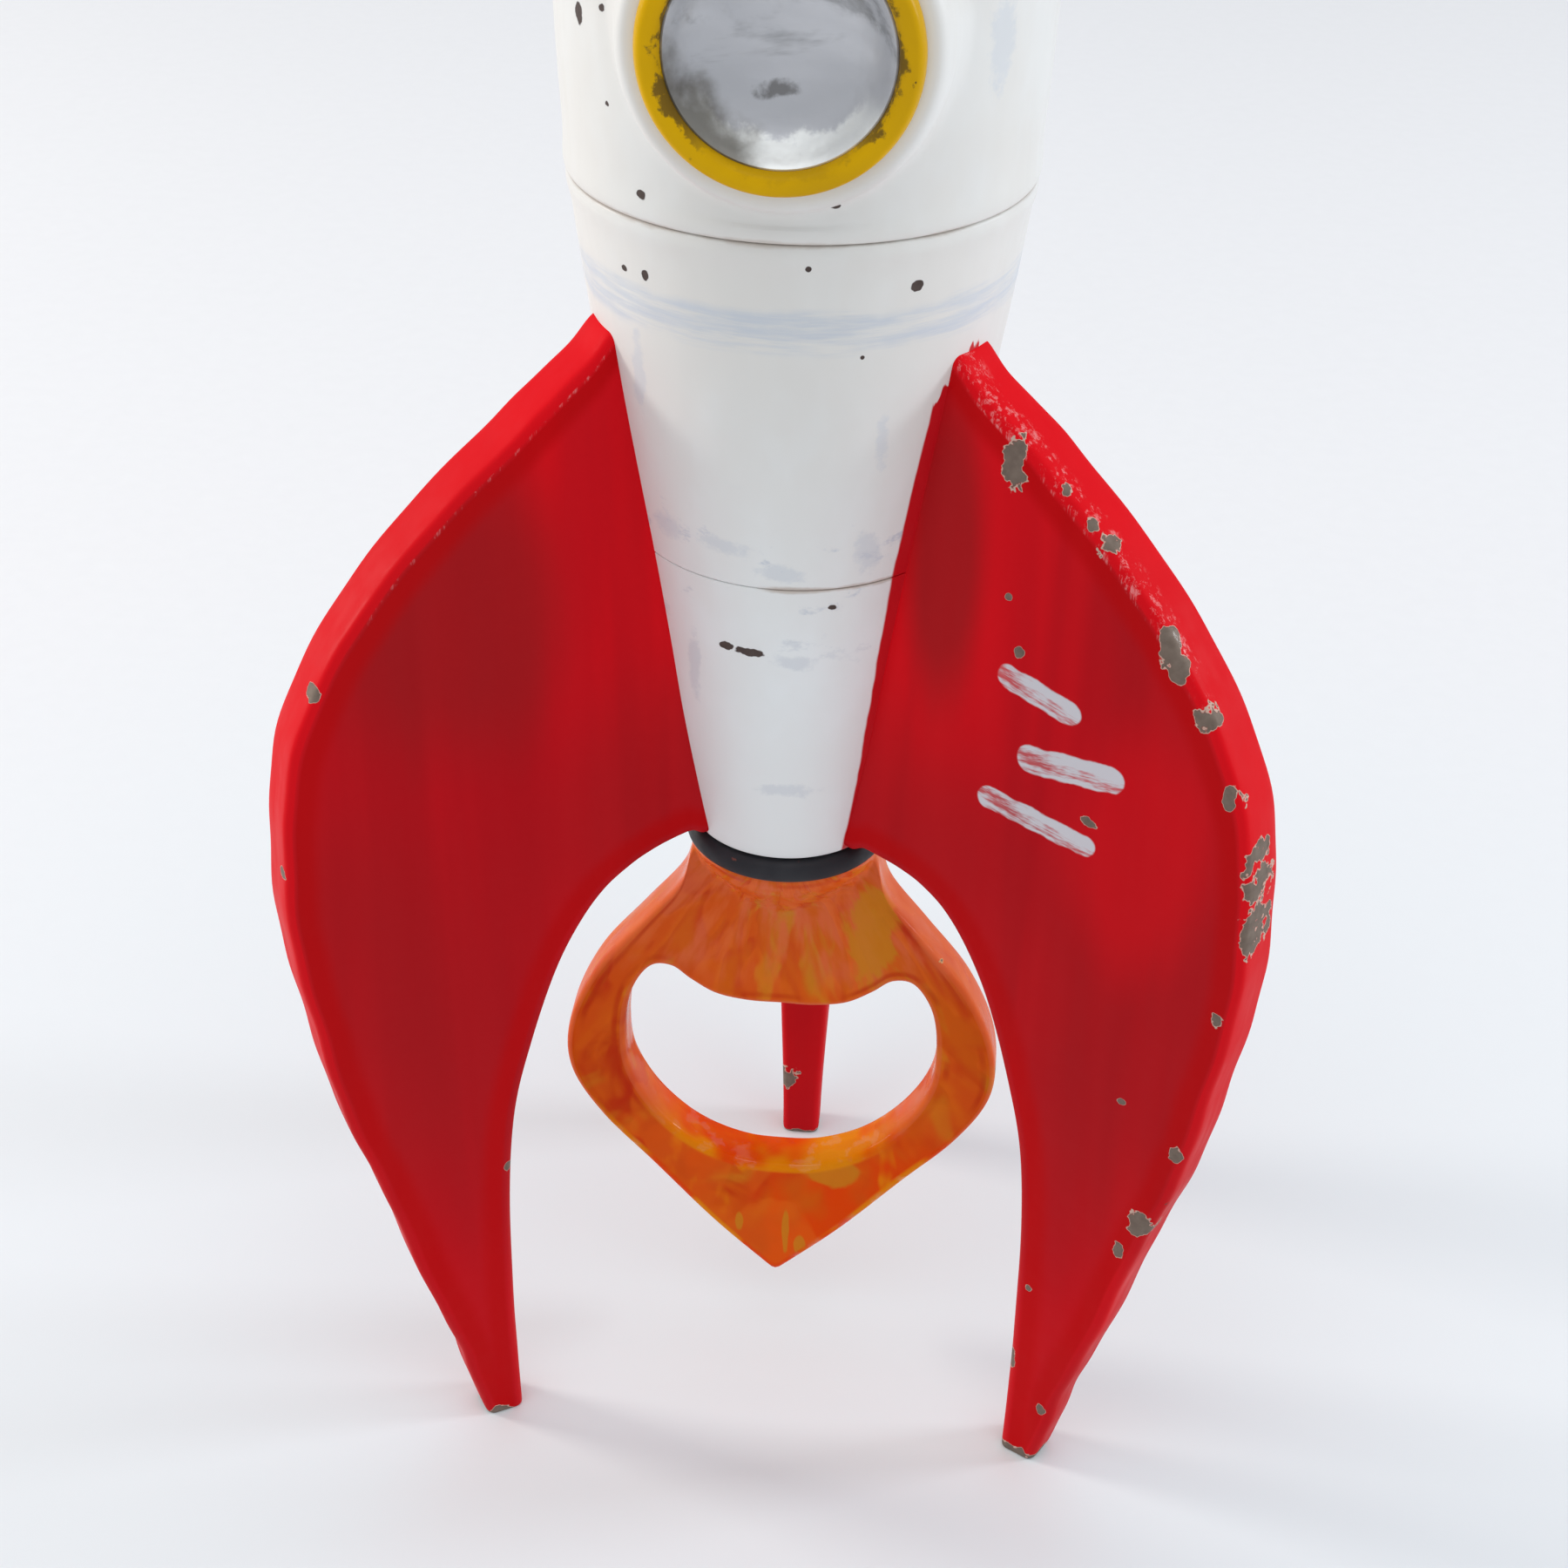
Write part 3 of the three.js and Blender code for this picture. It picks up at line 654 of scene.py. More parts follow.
# %% The coats of the white paint
def white_coat(tree, centred, brushed, height):
    """Warm white strokes, cooler low down and in patches, with grey touches at the lower seam."""
    low_down = fade(tree, height, *mm(*COOL_FROM))
    patches = spread(tree, centred, 55.0, (1, 1, 0.6), detail=4.0, rough=0.65)
    patches = fade(tree, patches, 0.44, 0.68)
    colour = mix(tree, times(tree, brushed["Broad"], 0.35), WHITE_WARM, WHITE_STREAK)
    cool = maths(tree, "ADD", times(tree, low_down, 0.75), times(tree, patches, 0.25), clamp=True)
    colour = mix(tree, cool, colour, WHITE_COOL)
    touches = spread(tree, centred, 120.0, (1, 1, 1.5), detail=5.0, rough=0.7)
    touched = times(tree, fade(tree, touches, 0.585, 0.68), fade(tree, height, *mm(*DAUBS_RISE)),
                    fade(tree, height, *mm(*DAUBS_END)))
    return mix(tree, touched, colour, WHITE_GREY)


def off_height(tree, height, middle, ragged):
    """How far a point is above or below a height in millimetres, with a ragged edge."""
    off = maths(tree, "ABSOLUTE", maths(tree, "SUBTRACT", height, middle * MM))
    return plus(tree, off, ragged)


def brushed_band(tree, colour, centred, height):
    """A grey band, laid on round the body with a nearly dry brush."""
    off = off_height(tree, height, BAND_Z, swing(tree, centred, 150.0, 2.4 * MM, (1, 1, 0.5)))
    dry = spread(tree, centred, 260.0, (0.28, 0.28, 3.6), detail=4.0, rough=0.7)
    band = times(tree, fade(tree, off, *mm(2.6, 1.3)), fade(tree, dry, 0.3, 0.66), 0.95)
    return mix(tree, band, colour, WHITE_GREY)


def seam_line(tree, colour, sides, ragged, height, weight, start):
    """A brown line along a seam, on the right of where it starts."""
    off = off_height(tree, sides["Z"], height, ragged)
    to_right = fade(tree, sides["X"], *mm(start, start + 3))
    line = times(tree, to_right, fade(tree, off, 0.4 * MM, 0.0, 0.0, weight))
    return mix(tree, line, colour, SEAM_BROWN)


# %% The white paint
def white_paint(name):
    """The body's paint. Every piece of the body reads the same pattern, so it runs across seams."""
    paint, tree, vector = new_paint(name)
    centred = moved_to(tree, vector, AXIS)
    sides = split(tree, centred)
    upright = stretched(tree, centred, (1, 1, 0.09))
    brushed = place(tree, strokes, Vector=upright, Fineness=700.0)
    colour = white_coat(tree, centred, brushed, sides["Z"])
    colour = brushed_band(tree, colour, centred, sides["Z"])
    ragged = swing(tree, centred, 330.0, 2.4, detail=4.0, rough=0.7)
    for spot in GREY_DAUBS:
        colour = daub(tree, colour, centred, spot, WHITE_GREY, ragged, 1.1, 0.5, 0.5)
    cracked = swing(tree, centred, 160.0, 1.3 * MM, detail=4.0)
    for seam in SEAM_LINES:
        colour = seam_line(tree, colour, sides, cracked, *seam)
    for fin, turn in FIN_TURN.items():
        red_here = place(tree, lap, Vector=centred, Angle=math.radians(-turn),
                         Spread=LAP_SPREAD[fin] * MM, Front=LAP_FRONT[fin] * MM)["Red"]
        colour = mix(tree, red_here, colour, RED_MID)
    specks = place(tree, pits, Vector=centred, Density=150.0, Share=0.12, Size=0.07)
    colour = mix(tree, specks["Pit"], colour, PIT_BROWN)
    gloss = fade(tree, brushed["Fine"], 0.3, 0.7, 0.34, 0.5)
    lumps = times(tree, spread(tree, centred, 90.0, detail=2.0), 3.5)
    bumps = plus(tree, times(tree, brushed["Height"], 0.3), lumps,
                 times(tree, specks["Height"], 0.8))
    worn_paint(tree, centred, colour, chip_level(tree, centred, BODY_PITS), gloss, bumps,
               lip_colour=LIP_GREY, metal=(PIT_BROWN, PIT_PALE))
    return paint


white = white_paint("white_paint")
print("white paint has", len(white.node_tree.nodes), "nodes")

# %% [markdown]
# ## A body piece on the lathe
# The body is four thin castings stacked on each other. A turned part is made in the same way as
# on a lathe: the half section of the wall, inside and outside, is drawn once and spun round the
# axis. At the upper seam the upper piece's edge stands a little proud, and the piece under it ends
# in a soft bead. At the lower seam the edges are flush, and the seam is a crack in the paint.

# %% Spin a wall section round the body's axis
FACETS = 128
WALL = 3.0
INNER_ROWS = 8


def spin_outline(bm, outline, closed=True, facets=FACETS, centre=AXIS, axis=(0, 0, 1)):
    """Spins points, joined in a line or a closed line, a full turn."""
    points = [bm.verts.new(point) for point in outline]
    pairs = list(zip(points, points[1:]))
    if closed:
        pairs.append((points[-1], points[0]))
    edges = [bm.edges.new(pair) for pair in pairs]
    bmesh.ops.spin(bm, geom=points + edges, cent=centre, axis=axis, angle=math.tau,
                   steps=facets, use_merge=True)
    bmesh.ops.remove_doubles(bm, verts=bm.verts, dist=0.01 * MM)


def wall_section(low, high, low_edge, high_edge, rows):
    """A body piece's wall from low to high. Each edge is a list of (rise, swell) points."""
    outside = [(low + rise, hull_radius(low + rise) + swell) for rise, swell in low_edge]
    start, end = outside[-1][0], high - high_edge[0][0]
    for row in range(1, rows):
        z = start + (end - start) * row / rows
        outside.append((z, hull_radius(z)))
    outside += [(high - drop, hull_radius(high - drop) + swell) for drop, swell in high_edge]
    inside = []
    for row in range(INNER_ROWS + 1):
        z = high + (low - high) * row / INNER_ROWS
        inside.append((z, hull_radius(z) - WALL))
    return [at(radius, 0, z) for z, radius in outside + inside]


# The (rise, swell) points of each kind of edge, in millimetres.
SOFT_EDGE = [(0.0, -0.12), (0.08, -0.05), (0.25, -0.01), (0.6, 0.0)]
FLUSH_EDGE = [(0.0, -0.02), (0.08, 0.0), (0.25, 0.0), (0.6, 0.0)]
PROUD_EDGE = [(0.0, 0.02), (0.08, 0.14), (0.3, 0.26), (0.8, 0.34), (1.5, 0.28), (2.6, 0.12),
              (4.0, 0.0)]
BEAD_EDGE = [(3.4, 0.0), (2.4, 0.1), (1.7, 0.24), (1.1, 0.3), (0.6, 0.22), (0.2, 0.08),
             (0.0, -0.02)]
SEAM_GAP = 0.03
LOWER_ROWS = 26


def body_piece(name, low, high, low_edge, high_edge):
    """One of the two lower pieces of the body, from one height to another."""
    bm = bmesh.new()
    spin_outline(bm, wall_section(low, high, low_edge, high_edge, LOWER_ROWS))
    finish_piece(bm, name, white)


body_piece("tail_cone_shape", TAIL_LOW, LOWER_SEAM - SEAM_GAP, SOFT_EDGE, FLUSH_EDGE[::-1])
body_piece("mid_body_shape", LOWER_SEAM, UPPER_SEAM - SEAM_GAP, FLUSH_EDGE, BEAD_EDGE)

# %% [markdown]
# ## The boss that grows out of the upper body
# The porthole sits on a raised round boss, cast in one with the body. A cylinder pushed through
# the wall would leave a hard line, so the boss is grown out of the wall: the faces of the wall
# in front are taken away, a ring of points is laid on the body there and bridged to the gap, and
# the ring is then extruded in small steps, up a soft skirt, over the rounded edge and down into
# the seat of the dish.

# %% The upper body with its boss
NOSE_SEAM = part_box("upper_body")[1].z / MM + SEAM_GAP
BOSS_FOOT = 16.0
PATCH = 17.4
PATCH_HEIGHT = 16.6
UPPER_ROWS = 34
FOOT_CUTS = 3
# Each step up the boss: radius, and how far from the body's own surface (0) to the face (1).
BOSS_STEPS = [(15.5, 0.05), (15.1, 0.16), (14.85, 0.36), (14.7, 0.6), (14.5, 0.8), (14.1, 0.93),
              (13.6, 0.985), (13.0, 1.0), (10.7, 1.0)]
SEAT_STEPS = [(10.6, 0.3), (10.6, 3.2)]


def on_body(x, z):
    """The point of the body's front at a side and a height."""
    return at(x, -math.sqrt(hull_radius(z) ** 2 - x * x), z)


def port_ring_points(ring, radius):
    """Moves a ring of points to a radius round the middle of the porthole."""
    for vert in ring:
        across = Vector((vert.co.x - AXIS.x, 0, vert.co.z - PORT_Z * MM)).normalized() * radius * MM
        vert.co.x, vert.co.z = AXIS.x + across.x, PORT_Z * MM + across.z


def step_up(bm, ring, radius, depth):
    """Extrudes a ring of edges and moves the new one. depth gives y for a new point."""
    made = bmesh.ops.extrude_edge_only(bm, edges=ring)["geom"]
    verts = [part for part in made if isinstance(part, bmesh.types.BMVert)]
    port_ring_points(verts, radius)
    for vert in verts:
        vert.co.y = depth(vert)
    rim = set(verts)
    return [part for part in made if isinstance(part, bmesh.types.BMEdge)
            and part.verts[0] in rim and part.verts[1] in rim]


def foot_depth(vert):
    """The y at which a point lies on the body."""
    x, z = (vert.co.x - AXIS.x) / MM, vert.co.z / MM
    return on_body(x, z).y


bm = bmesh.new()
spin_outline(bm, wall_section(UPPER_SEAM, NOSE_SEAM - SEAM_GAP, PROUD_EDGE, SOFT_EDGE[::-1],
                              UPPER_ROWS))
front = []
for face in bm.faces:
    middle = face.calc_center_median()
    across, up = (middle.x - AXIS.x) / MM, middle.z / MM - PORT_Z
    outer = (middle - AXIS).xy.length / MM > hull_radius(middle.z / MM) - 1
    if abs(across) < PATCH and abs(up) < PATCH_HEIGHT and middle.y < AXIS.y and outer:
        front.append(face)
bmesh.ops.delete(bm, geom=front, context="FACES")
gap_edges = [edge for edge in bm.edges if edge.is_boundary]
gap_count = len(gap_edges)
circle = bmesh.ops.create_circle(bm, segments=gap_count, radius=BOSS_FOOT * MM,
                                 matrix=Matrix.Translation(at(0, -30, PORT_Z))
                                 @ Matrix.Rotation(math.pi / 2, 4, "X"))["verts"]
ring = list(dict.fromkeys(edge for vert in circle for edge in vert.link_edges))
for vert in circle:
    vert.co.y = foot_depth(vert)
bridged = bmesh.ops.bridge_loops(bm, edges=gap_edges + ring)
laid = bmesh.ops.subdivide_edges(bm, edges=bridged["edges"], cuts=FOOT_CUTS, use_grid_fill=True)
for part in laid["geom_inner"]:
    if isinstance(part, bmesh.types.BMVert):
        part.co.y = foot_depth(part)
face_y = AXIS.y - BOSS_FACE * MM
for radius, rise in BOSS_STEPS:
    ring = step_up(bm, ring, radius,
                   lambda vert, rise=rise: foot_depth(vert) * (1 - rise) + face_y * rise)
for radius, drop in SEAT_STEPS:
    ring = step_up(bm, ring, radius, lambda vert, drop=drop: face_y + drop * MM)
bmesh.ops.contextual_create(bm, geom=ring)
finish_piece(bm, "upper_body_shape", white)
print("boss ring of", gap_count, "points")

# %% [markdown]
# ## The nose
# The nose closes the body at the top. It is one turned wall as well, with a small rounded tip.
# Its outline starts and ends on the axis, so that both poles are closed, the hollow's and the
# tip's. It has the fins' red, without the chips and without the colours of a rim.

# %% The nose cone
NOSE_ROWS = 39
TIP_THICK = 20.0
TIP_STEPS = [(0.7, 1.45), (0.2, 0.7), (0.0, 0.0)]
nose_low = [(NOSE_SEAM + rise, hull_radius(NOSE_SEAM + rise) + swell) for rise, swell in SOFT_EDGE]
outside_from = NOSE_SEAM + 0.5
nose_outside = []
for row in range(1, NOSE_ROWS + 1):
    z = outside_from + (HULL[-1][0] - outside_from) * row / NOSE_ROWS
    nose_outside.append((z, hull_radius(z)))
nose_tip = [(TIP_Z - drop, radius) for drop, radius in TIP_STEPS]
hollow_top = TIP_Z - TIP_THICK
nose_inside = [(hollow_top, 0.0)]
for row in range(1, INNER_ROWS + 1):
    z = hollow_top + (NOSE_SEAM - hollow_top) * row / INNER_ROWS
    nose_inside.append((z, hull_radius(z) - WALL))
nose_outline = [at(radius, 0, z) for z, radius in nose_inside + nose_low + nose_outside + nose_tip]
bm = bmesh.new()
spin_outline(bm, nose_outline, closed=False)
finish_piece(bm, "nose_cone_shape", red_paint("nose_red", 0.0, [], has_rim=False))

# %% [markdown]
# ## Bands: the shape that the fins and the flame share
# A fin is a band of metal between two curves, and so is the flame, round its hole. Across the
# band the section is always the same: two flat faces, two flat rims and rounded corners. So both
# are made from a flat grid: one way runs along the band and the other goes once round the
# section. Each point of the grid is moved to its place, and the two sides meet and are merged.

# %% The section of a band, and a grid bent round it
def band_section(face_cells, corner_cells):
    """Points once round a section, as (share across, side, corner across, corner out)."""
    corner = [math.pi / 2 * k / corner_cells for k in range(corner_cells + 1)]
    shares = [(1 - math.cos(math.pi * k / face_cells)) / 2 for k in range(1, face_cells)]
    points = [(share, -1, 0.0, -1.0) for share in shares]
    points += [(1, -1, math.sin(a), -math.cos(a)) for a in corner]
    points += [(1, 0, 1.0, 0.0)]
    points += [(1, 1, math.sin(a), math.cos(a)) for a in reversed(corner)]
    points += [(share, 1, 0.0, 1.0) for share in reversed(shares)]
    points += [(0, 1, -math.sin(a), math.cos(a)) for a in corner]
    points += [(0, 0, -1.0, 0.0)]
    points += [(0, -1, -math.sin(a), -math.cos(a)) for a in reversed(corner)]
    return points


def bent_band(bm, rungs, section, corner, half_thickness):
    """A grid bent round a band. A rung is (inner across, inner up, outer across, outer up)."""
    rim = bm.verts.layers.float.new("rim_mm")
    columns, rows = len(rungs) - 1, len(section)
    bmesh.ops.create_grid(bm, x_segments=columns, y_segments=rows, size=1)
    for vert in bm.verts:
        i = round((vert.co.x + 1) / 2 * columns)
        share, side, across, out = section[round((vert.co.y + 1) / 2 * rows) % rows]
        x0, z0, x1, z1 = rungs[i]
        reach = math.hypot(x1 - x0, z1 - z0)
        edge = min(corner, reach * 0.48)
        place_mm = edge + share * (reach - 2 * edge) + edge * across
        x = x0 + (x1 - x0) * place_mm / reach
        z = z0 + (z1 - z0) * place_mm / reach
        half = half_thickness(x, z)
        corner_out = min(corner, half * 0.9)
        y = side * (half - corner_out) + corner_out * out
        vert.co = Vector((x * MM, y * MM, z * MM))
        vert[rim] = max(0.0, min(place_mm, reach - place_mm)) if across == 0.0 else 0.0
    bmesh.ops.remove_doubles(bm, verts=bm.verts, dist=0.005 * MM)


# %% [markdown]
# ## The fins
# Each fin is a thick cast blade. Its rungs run from the inner edge to the outer edge, level at
# the foot and fanning out until the last one lies along the body. Near the body the blade gets a
# little thinner, and the roots of the front fins are set a little to one side, as in castings
# that are fitted by hand. A slow waviness keeps the long edges from looking machined. One blade
# is made three times and turned to its place.

# %% Rungs of a fin, from the foot to the root
FIN_RUNGS = [
    (35.2, 0.0, 39.8, 0.0), (35.5, 9.5, 42.4, 9.3), (35.8, 20.0, 45.4, 20.0),
    (35.7, 34.9, 49.8, 36.0), (34.6, 47.4, 53.4, 49.0), (32.2, 56.8, 56.3, 62.0),
    (29.1, 65.7, 58.1, 75.5), (26.1, 71.4, 58.4, 88.5), (23.0, 75.3, 56.4, 100.4),
    (19.8, 77.5, 50.8, 112.0), (17.2, 78.5, 41.7, 122.2), (15.0, 79.0, 32.0, 130.7),
    (13.2, 79.3, 25.5, 135.4), (11.3, 79.6, 21.0, 138.6), (9.6, 79.8, 18.8, 139.8),
]
FOOT_HALF = 2.5
FOOT_TAPER = 30.0
FILLET = 2.4
WAIST = 0.3
WAIST_REACH = 12.0
ROOT_SHIFT = {"fin_left": -0.7, "fin_right": -0.7, "fin_rear": 0.0}
FIN_CORNER = 1.0
FOOT_BEVEL = 0.35
SLOW_WAVE = 0.16
QUICK_WAVE = 0.1
WAVE_INWARD = 0.37
SETTLED_FROM = 12.0
ROOT_SPREAD_TOP = 0.9
ROOT_SPREAD_LOW = 1.0


def near_body(x, z):
    """1 where a point of the blade touches the body, and 0 from WAIST_REACH on."""
    return 1 - ease((x - hull_radius(max(z, TAIL_LOW))) / WAIST_REACH)


def fin_half(x, z):
    """Half of the blade's thickness at a radius and a height."""
    half = FOOT_HALF + (FIN_HALF - FOOT_HALF) * ease(z / FOOT_TAPER)
    return half - WAIST * near_body(x, z)


def fin_rungs():
    """The smooth run of rungs, with a slow wave, spread out where the blade meets the body."""
    rungs = smooth_line(FIN_RUNGS, 6)
    for i, (x0, z0, x1, z1) in enumerate(rungs):
        top_gap = (x1 - hull_radius(z1)) / (1.6 * FILLET)
        low_gap = (x0 - hull_radius(max(z0, TAIL_LOW))) / FILLET
        spread_top = ROOT_SPREAD_TOP * (1 - ease(top_gap)) ** 2
        spread_low = ROOT_SPREAD_LOW * (1 - ease(low_gap)) ** 2
        wave = SLOW_WAVE * math.sin(i * 0.55) + QUICK_WAVE * math.sin(i * 1.31 + 1)
        wave = (wave - WAVE_INWARD) * ease(z1 / SETTLED_FROM) * ease((x1 - 22) / 10)
        rungs[i] = (x0, z0 - spread_low, x1 + wave, z1 + spread_top)
    return rungs


def make_fin(name, paint):
    """One fin, whose root is set a little to one side where the blade runs into the body."""
    bm = bmesh.new()
    bent_band(bm, fin_rungs(), band_section(20, 4), FIN_CORNER, fin_half)
    for vert in bm.verts:
        vert.co.y += ROOT_SHIFT[name] * MM * near_body(vert.co.x / MM, vert.co.z / MM)
    bmesh.ops.holes_fill(bm, edges=bm.edges, sides=0)
    foot = [edge for edge in bm.edges
            if all(abs(vert.co.z) < 0.01 * MM for vert in edge.verts)]
    bmesh.ops.bevel(bm, geom=foot, offset=FOOT_BEVEL * MM, segments=2, profile=0.5,
                    affect="EDGES", material=-1)
    turn = Matrix.Rotation(math.radians(FIN_TURN[name]), 4, "Z")
    bmesh.ops.transform(bm, matrix=Matrix.Translation(AXIS) @ turn, verts=bm.verts)
    finish_piece(bm, name + "_shape", paint)


# %% The chips, the patches of painted light and shade and the marks of each fin, and the three blades
# A chip has its centre, as radius, side and height, and its half sizes in the same directions.
LEFT_CHIPS = [
    (mm(32.8, 3.0, 133.3), mm(0.9, 1.4, 0.9)), (mm(53.7, 3.0, 107.2), mm(1.0, 1.6, 1.0)),
    (mm(58.3, 2.6, 86.5), mm(0.5, 1.2, 0.7)), (mm(56.6, 3.0, 62.0), mm(0.4, 1.2, 0.8)),
    (mm(36.0, 3.0, 40.0), mm(0.5, 1.2, 0.5)), (mm(38.6, 1.4, 0.0), mm(2.0, 2.6, 1.1)),
    (mm(38.6, 3.0, 128.6), mm(0.6, 1.2, 0.6)),
]
RIGHT_CHIPS = [
    (mm(28.1, -3.2, 130.8), mm(1.2, 1.2, 2.9)), (mm(34.6, -1.4, 132.0), mm(0.8, 0.9, 0.8)),
    (mm(36.6, -3.2, 126.6), mm(0.8, 1.2, 0.8)), (mm(39.3, -2.6, 125.2), mm(1.7, 1.6, 1.5)),
    (mm(33.6, -2.6, 129.6), mm(0.7, 1.2, 0.7)), (mm(46.0, -3.2, 116.9), mm(0.9, 1.4, 2.6)),
    (mm(47.4, -3.2, 114.2), mm(1.0, 1.4, 1.4)), (mm(50.8, -3.2, 110.3), mm(1.5, 1.4, 1.5)),
    (mm(54.0, -1.6, 108.6), mm(0.9, 1.0, 1.4)), (mm(56.0, -2.4, 103.9), mm(0.8, 1.6, 1.3)),
    (mm(54.0, -3.2, 102.6), mm(0.6, 1.2, 1.2)), (mm(58.5, -1.2, 94.6), mm(1.6, 3.2, 5.6)),
    (mm(58.6, -1.0, 88.0), mm(1.2, 3.0, 3.2)), (mm(56.2, -2.4, 76.2), mm(0.8, 1.4, 1.0)),
    (mm(53.6, -3.0, 56.6), mm(0.7, 1.6, 1.1)), (mm(50.6, -3.0, 45.2), mm(1.3, 1.8, 1.5)),
    (mm(48.4, -2.8, 40.4), mm(0.7, 1.4, 1.2)), (mm(37.7, -3.2, 28.3), mm(0.5, 1.2, 0.6)),
    (mm(46.6, -3.2, 60.8), mm(0.5, 1.2, 0.4)), (mm(36.2, -2.6, 15.9), mm(0.5, 1.2, 1.4)),
    (mm(40.6, -2.4, 9.6), mm(0.6, 1.4, 0.9)), (mm(37.5, -1.0, 0.0), mm(4.0, 2.8, 1.5)),
    (mm(29.9, -3.2, 110.3), mm(0.5, 1.2, 0.6)), (mm(28.3, -3.2, 116.2), mm(0.4, 1.2, 0.4)),
    (mm(39.5, -3.2, 93.8), mm(0.9, 1.2, 0.6)),
]
REAR_CHIPS = [
    (mm(36.0, 2.0, 9.6), mm(1.5, 1.5, 1.7)), (mm(57.5, 0.0, 92.0), mm(1.3, 2.6, 3.0)),
    (mm(37.5, 0.0, 0.0), mm(4.0, 3.4, 0.6)), (mm(46.0, 2.4, 117.0), mm(1.2, 1.4, 1.2)),
]
RIGHT_MARKS = [
    (mm(32.6, 0, 106.4), -12, 3.6 * MM, 1.5 * MM),
    (mm(36.8, 0, 99.2), 8, 4.6 * MM, 1.7 * MM),
    (mm(33.4, 0, 91.6), -6, 5.8 * MM, 1.4 * MM),
]
# Patches of painted light and shade on a fin's face: darker where the face is in shade, lighter where
# it catches the light. Each has a centre, a size, a colour and a weight.
LEFT_PAINTED_LIGHT_AND_SHADE = [
    (mm(39.0, 0, 112.0), mm(14, 20, 19), RED_DUSK, 0.65),
    (mm(24.5, 0, 122.0), mm(3.4, 20, 18), RED_MID, 0.6),
]
RIGHT_PAINTED_LIGHT_AND_SHADE = [
    (mm(45.0, 0, 92.0), mm(9, 20, 16), RED_BRIGHT, 0.5),
    (mm(21.0, 0, 118.0), mm(4.5, 20, 18), RED_DUSK, 0.75),
]
make_fin("fin_left", red_paint("red_paint_left", FIN_TURN["fin_left"], LEFT_CHIPS,
                               painted_light_and_shade=LEFT_PAINTED_LIGHT_AND_SHADE, painted_glint=0.3))
make_fin("fin_right", red_paint("red_paint_right", FIN_TURN["fin_right"], RIGHT_CHIPS,
                                RIGHT_MARKS, RIGHT_PAINTED_LIGHT_AND_SHADE, painted_glint=0.55, painted_glint_on_wall=0.8))
make_fin("fin_rear", red_paint("red_paint_rear", FIN_TURN["fin_rear"], REAR_CHIPS))

# %% [markdown]
# ## The flame that opens bottles
# The flame is a flat ring that ends in a point below. Its hole fits over a bottle cap, and the
# lip that hangs from the top of the hole, between two notches, catches under the cap's edge. It
# is another bent band, right half first, and the other half is its mirror image. Towards the
# collar the flat plate swells into a round neck.

# %% The flame's paint
FLAME_ORANGE = (0.66, 0.115, 0.004)
FLAME_RED = (0.60, 0.050, 0.004)
FLAME_DEEP = (0.50, 0.022, 0.002)
FLAME_OCHRE = (0.60, 0.235, 0.012)
FLAME_YELLOW = (0.80, 0.27, 0.001)
FLAME_SALMON = (0.74, 0.15, 0.055)
FLAME_HOT = (0.78, 0.055, 0.0)
FLAME_BRIGHT = (0.84, 0.17, 0.008)


FLAME_LIP = (0.7, 0.45, 0.2)
RAY_TOP = 84.0
NEAR_NECK = (52.0, 60.0)
NEAR_TIP = (38.0, 28.0)
OCHRE_DAUBS = [
    (mm(10.4, -3, 63.5), mm(3.0, 3.5, 6.5)), (mm(1.2, -3, 16.4), mm(0.5, 3, 3.8)),
    (mm(3.0, -3, 14.6), mm(0.8, 3, 1.6)), (mm(-4.6, -3, 17.8), mm(0.7, 3, 2.0)),
    (mm(7.0, -3, 27.0), mm(4.0, 3, 2.4)),
]
FLAME_CHIPS = [(mm(18.8, -2.8, 60.4), mm(0.5, 1.2, 0.5)), (mm(25.3, -1.0, 43.8), mm(0.5, 1.0, 0.7))]


def flame_rays(tree, sides):
    """Coordinates that fan out from above the neck, so that strokes on them run like rays."""
    below_top = maths(tree, "SUBTRACT", RAY_TOP * MM, sides["Z"])
    fan = maths(tree, "ARCTAN2", sides["X"], below_top)
    away = hypotenuse(tree, sides["X"], below_top)
    return put(tree, "ShaderNodeCombineXYZ", {"X": times(tree, fan, 0.03), "Y": sides["Y"],
                                              "Z": times(tree, away, 0.35)}).outputs[0]


def flame_strokes(tree, centred, rays, height):
    """Orange, red, ochre and deep red strokes, with salmon ones near the neck."""
    wide = spread(tree, rays, 190.0, detail=2.5, warp=0.5)
    other = spread(tree, rays, 260.0, detail=2.0, warp=0.8, turn=(0.4, 0.9, 0.2))
    blobs = spread(tree, centred, 85.0, detail=3.0, warp=0.8)
    colour = mix(tree, fade(tree, wide, 0.4, 0.6), FLAME_ORANGE, FLAME_RED)
    colour = mix(tree, fade(tree, other, 0.52, 0.68, 0.0, 0.8), colour, FLAME_OCHRE)
    colour = mix(tree, fade(tree, blobs, 0.54, 0.68, 0.0, 0.8), colour, FLAME_DEEP)
    pale = spread(tree, rays, 330.0, detail=3.0, turn=(0.2, 0.1, 0.5))
    pale = times(tree, fade(tree, height, *mm(*NEAR_NECK)), fade(tree, pale, 0.4, 0.62, 0.1, 0.75))
    return mix(tree, pale, colour, FLAME_SALMON)


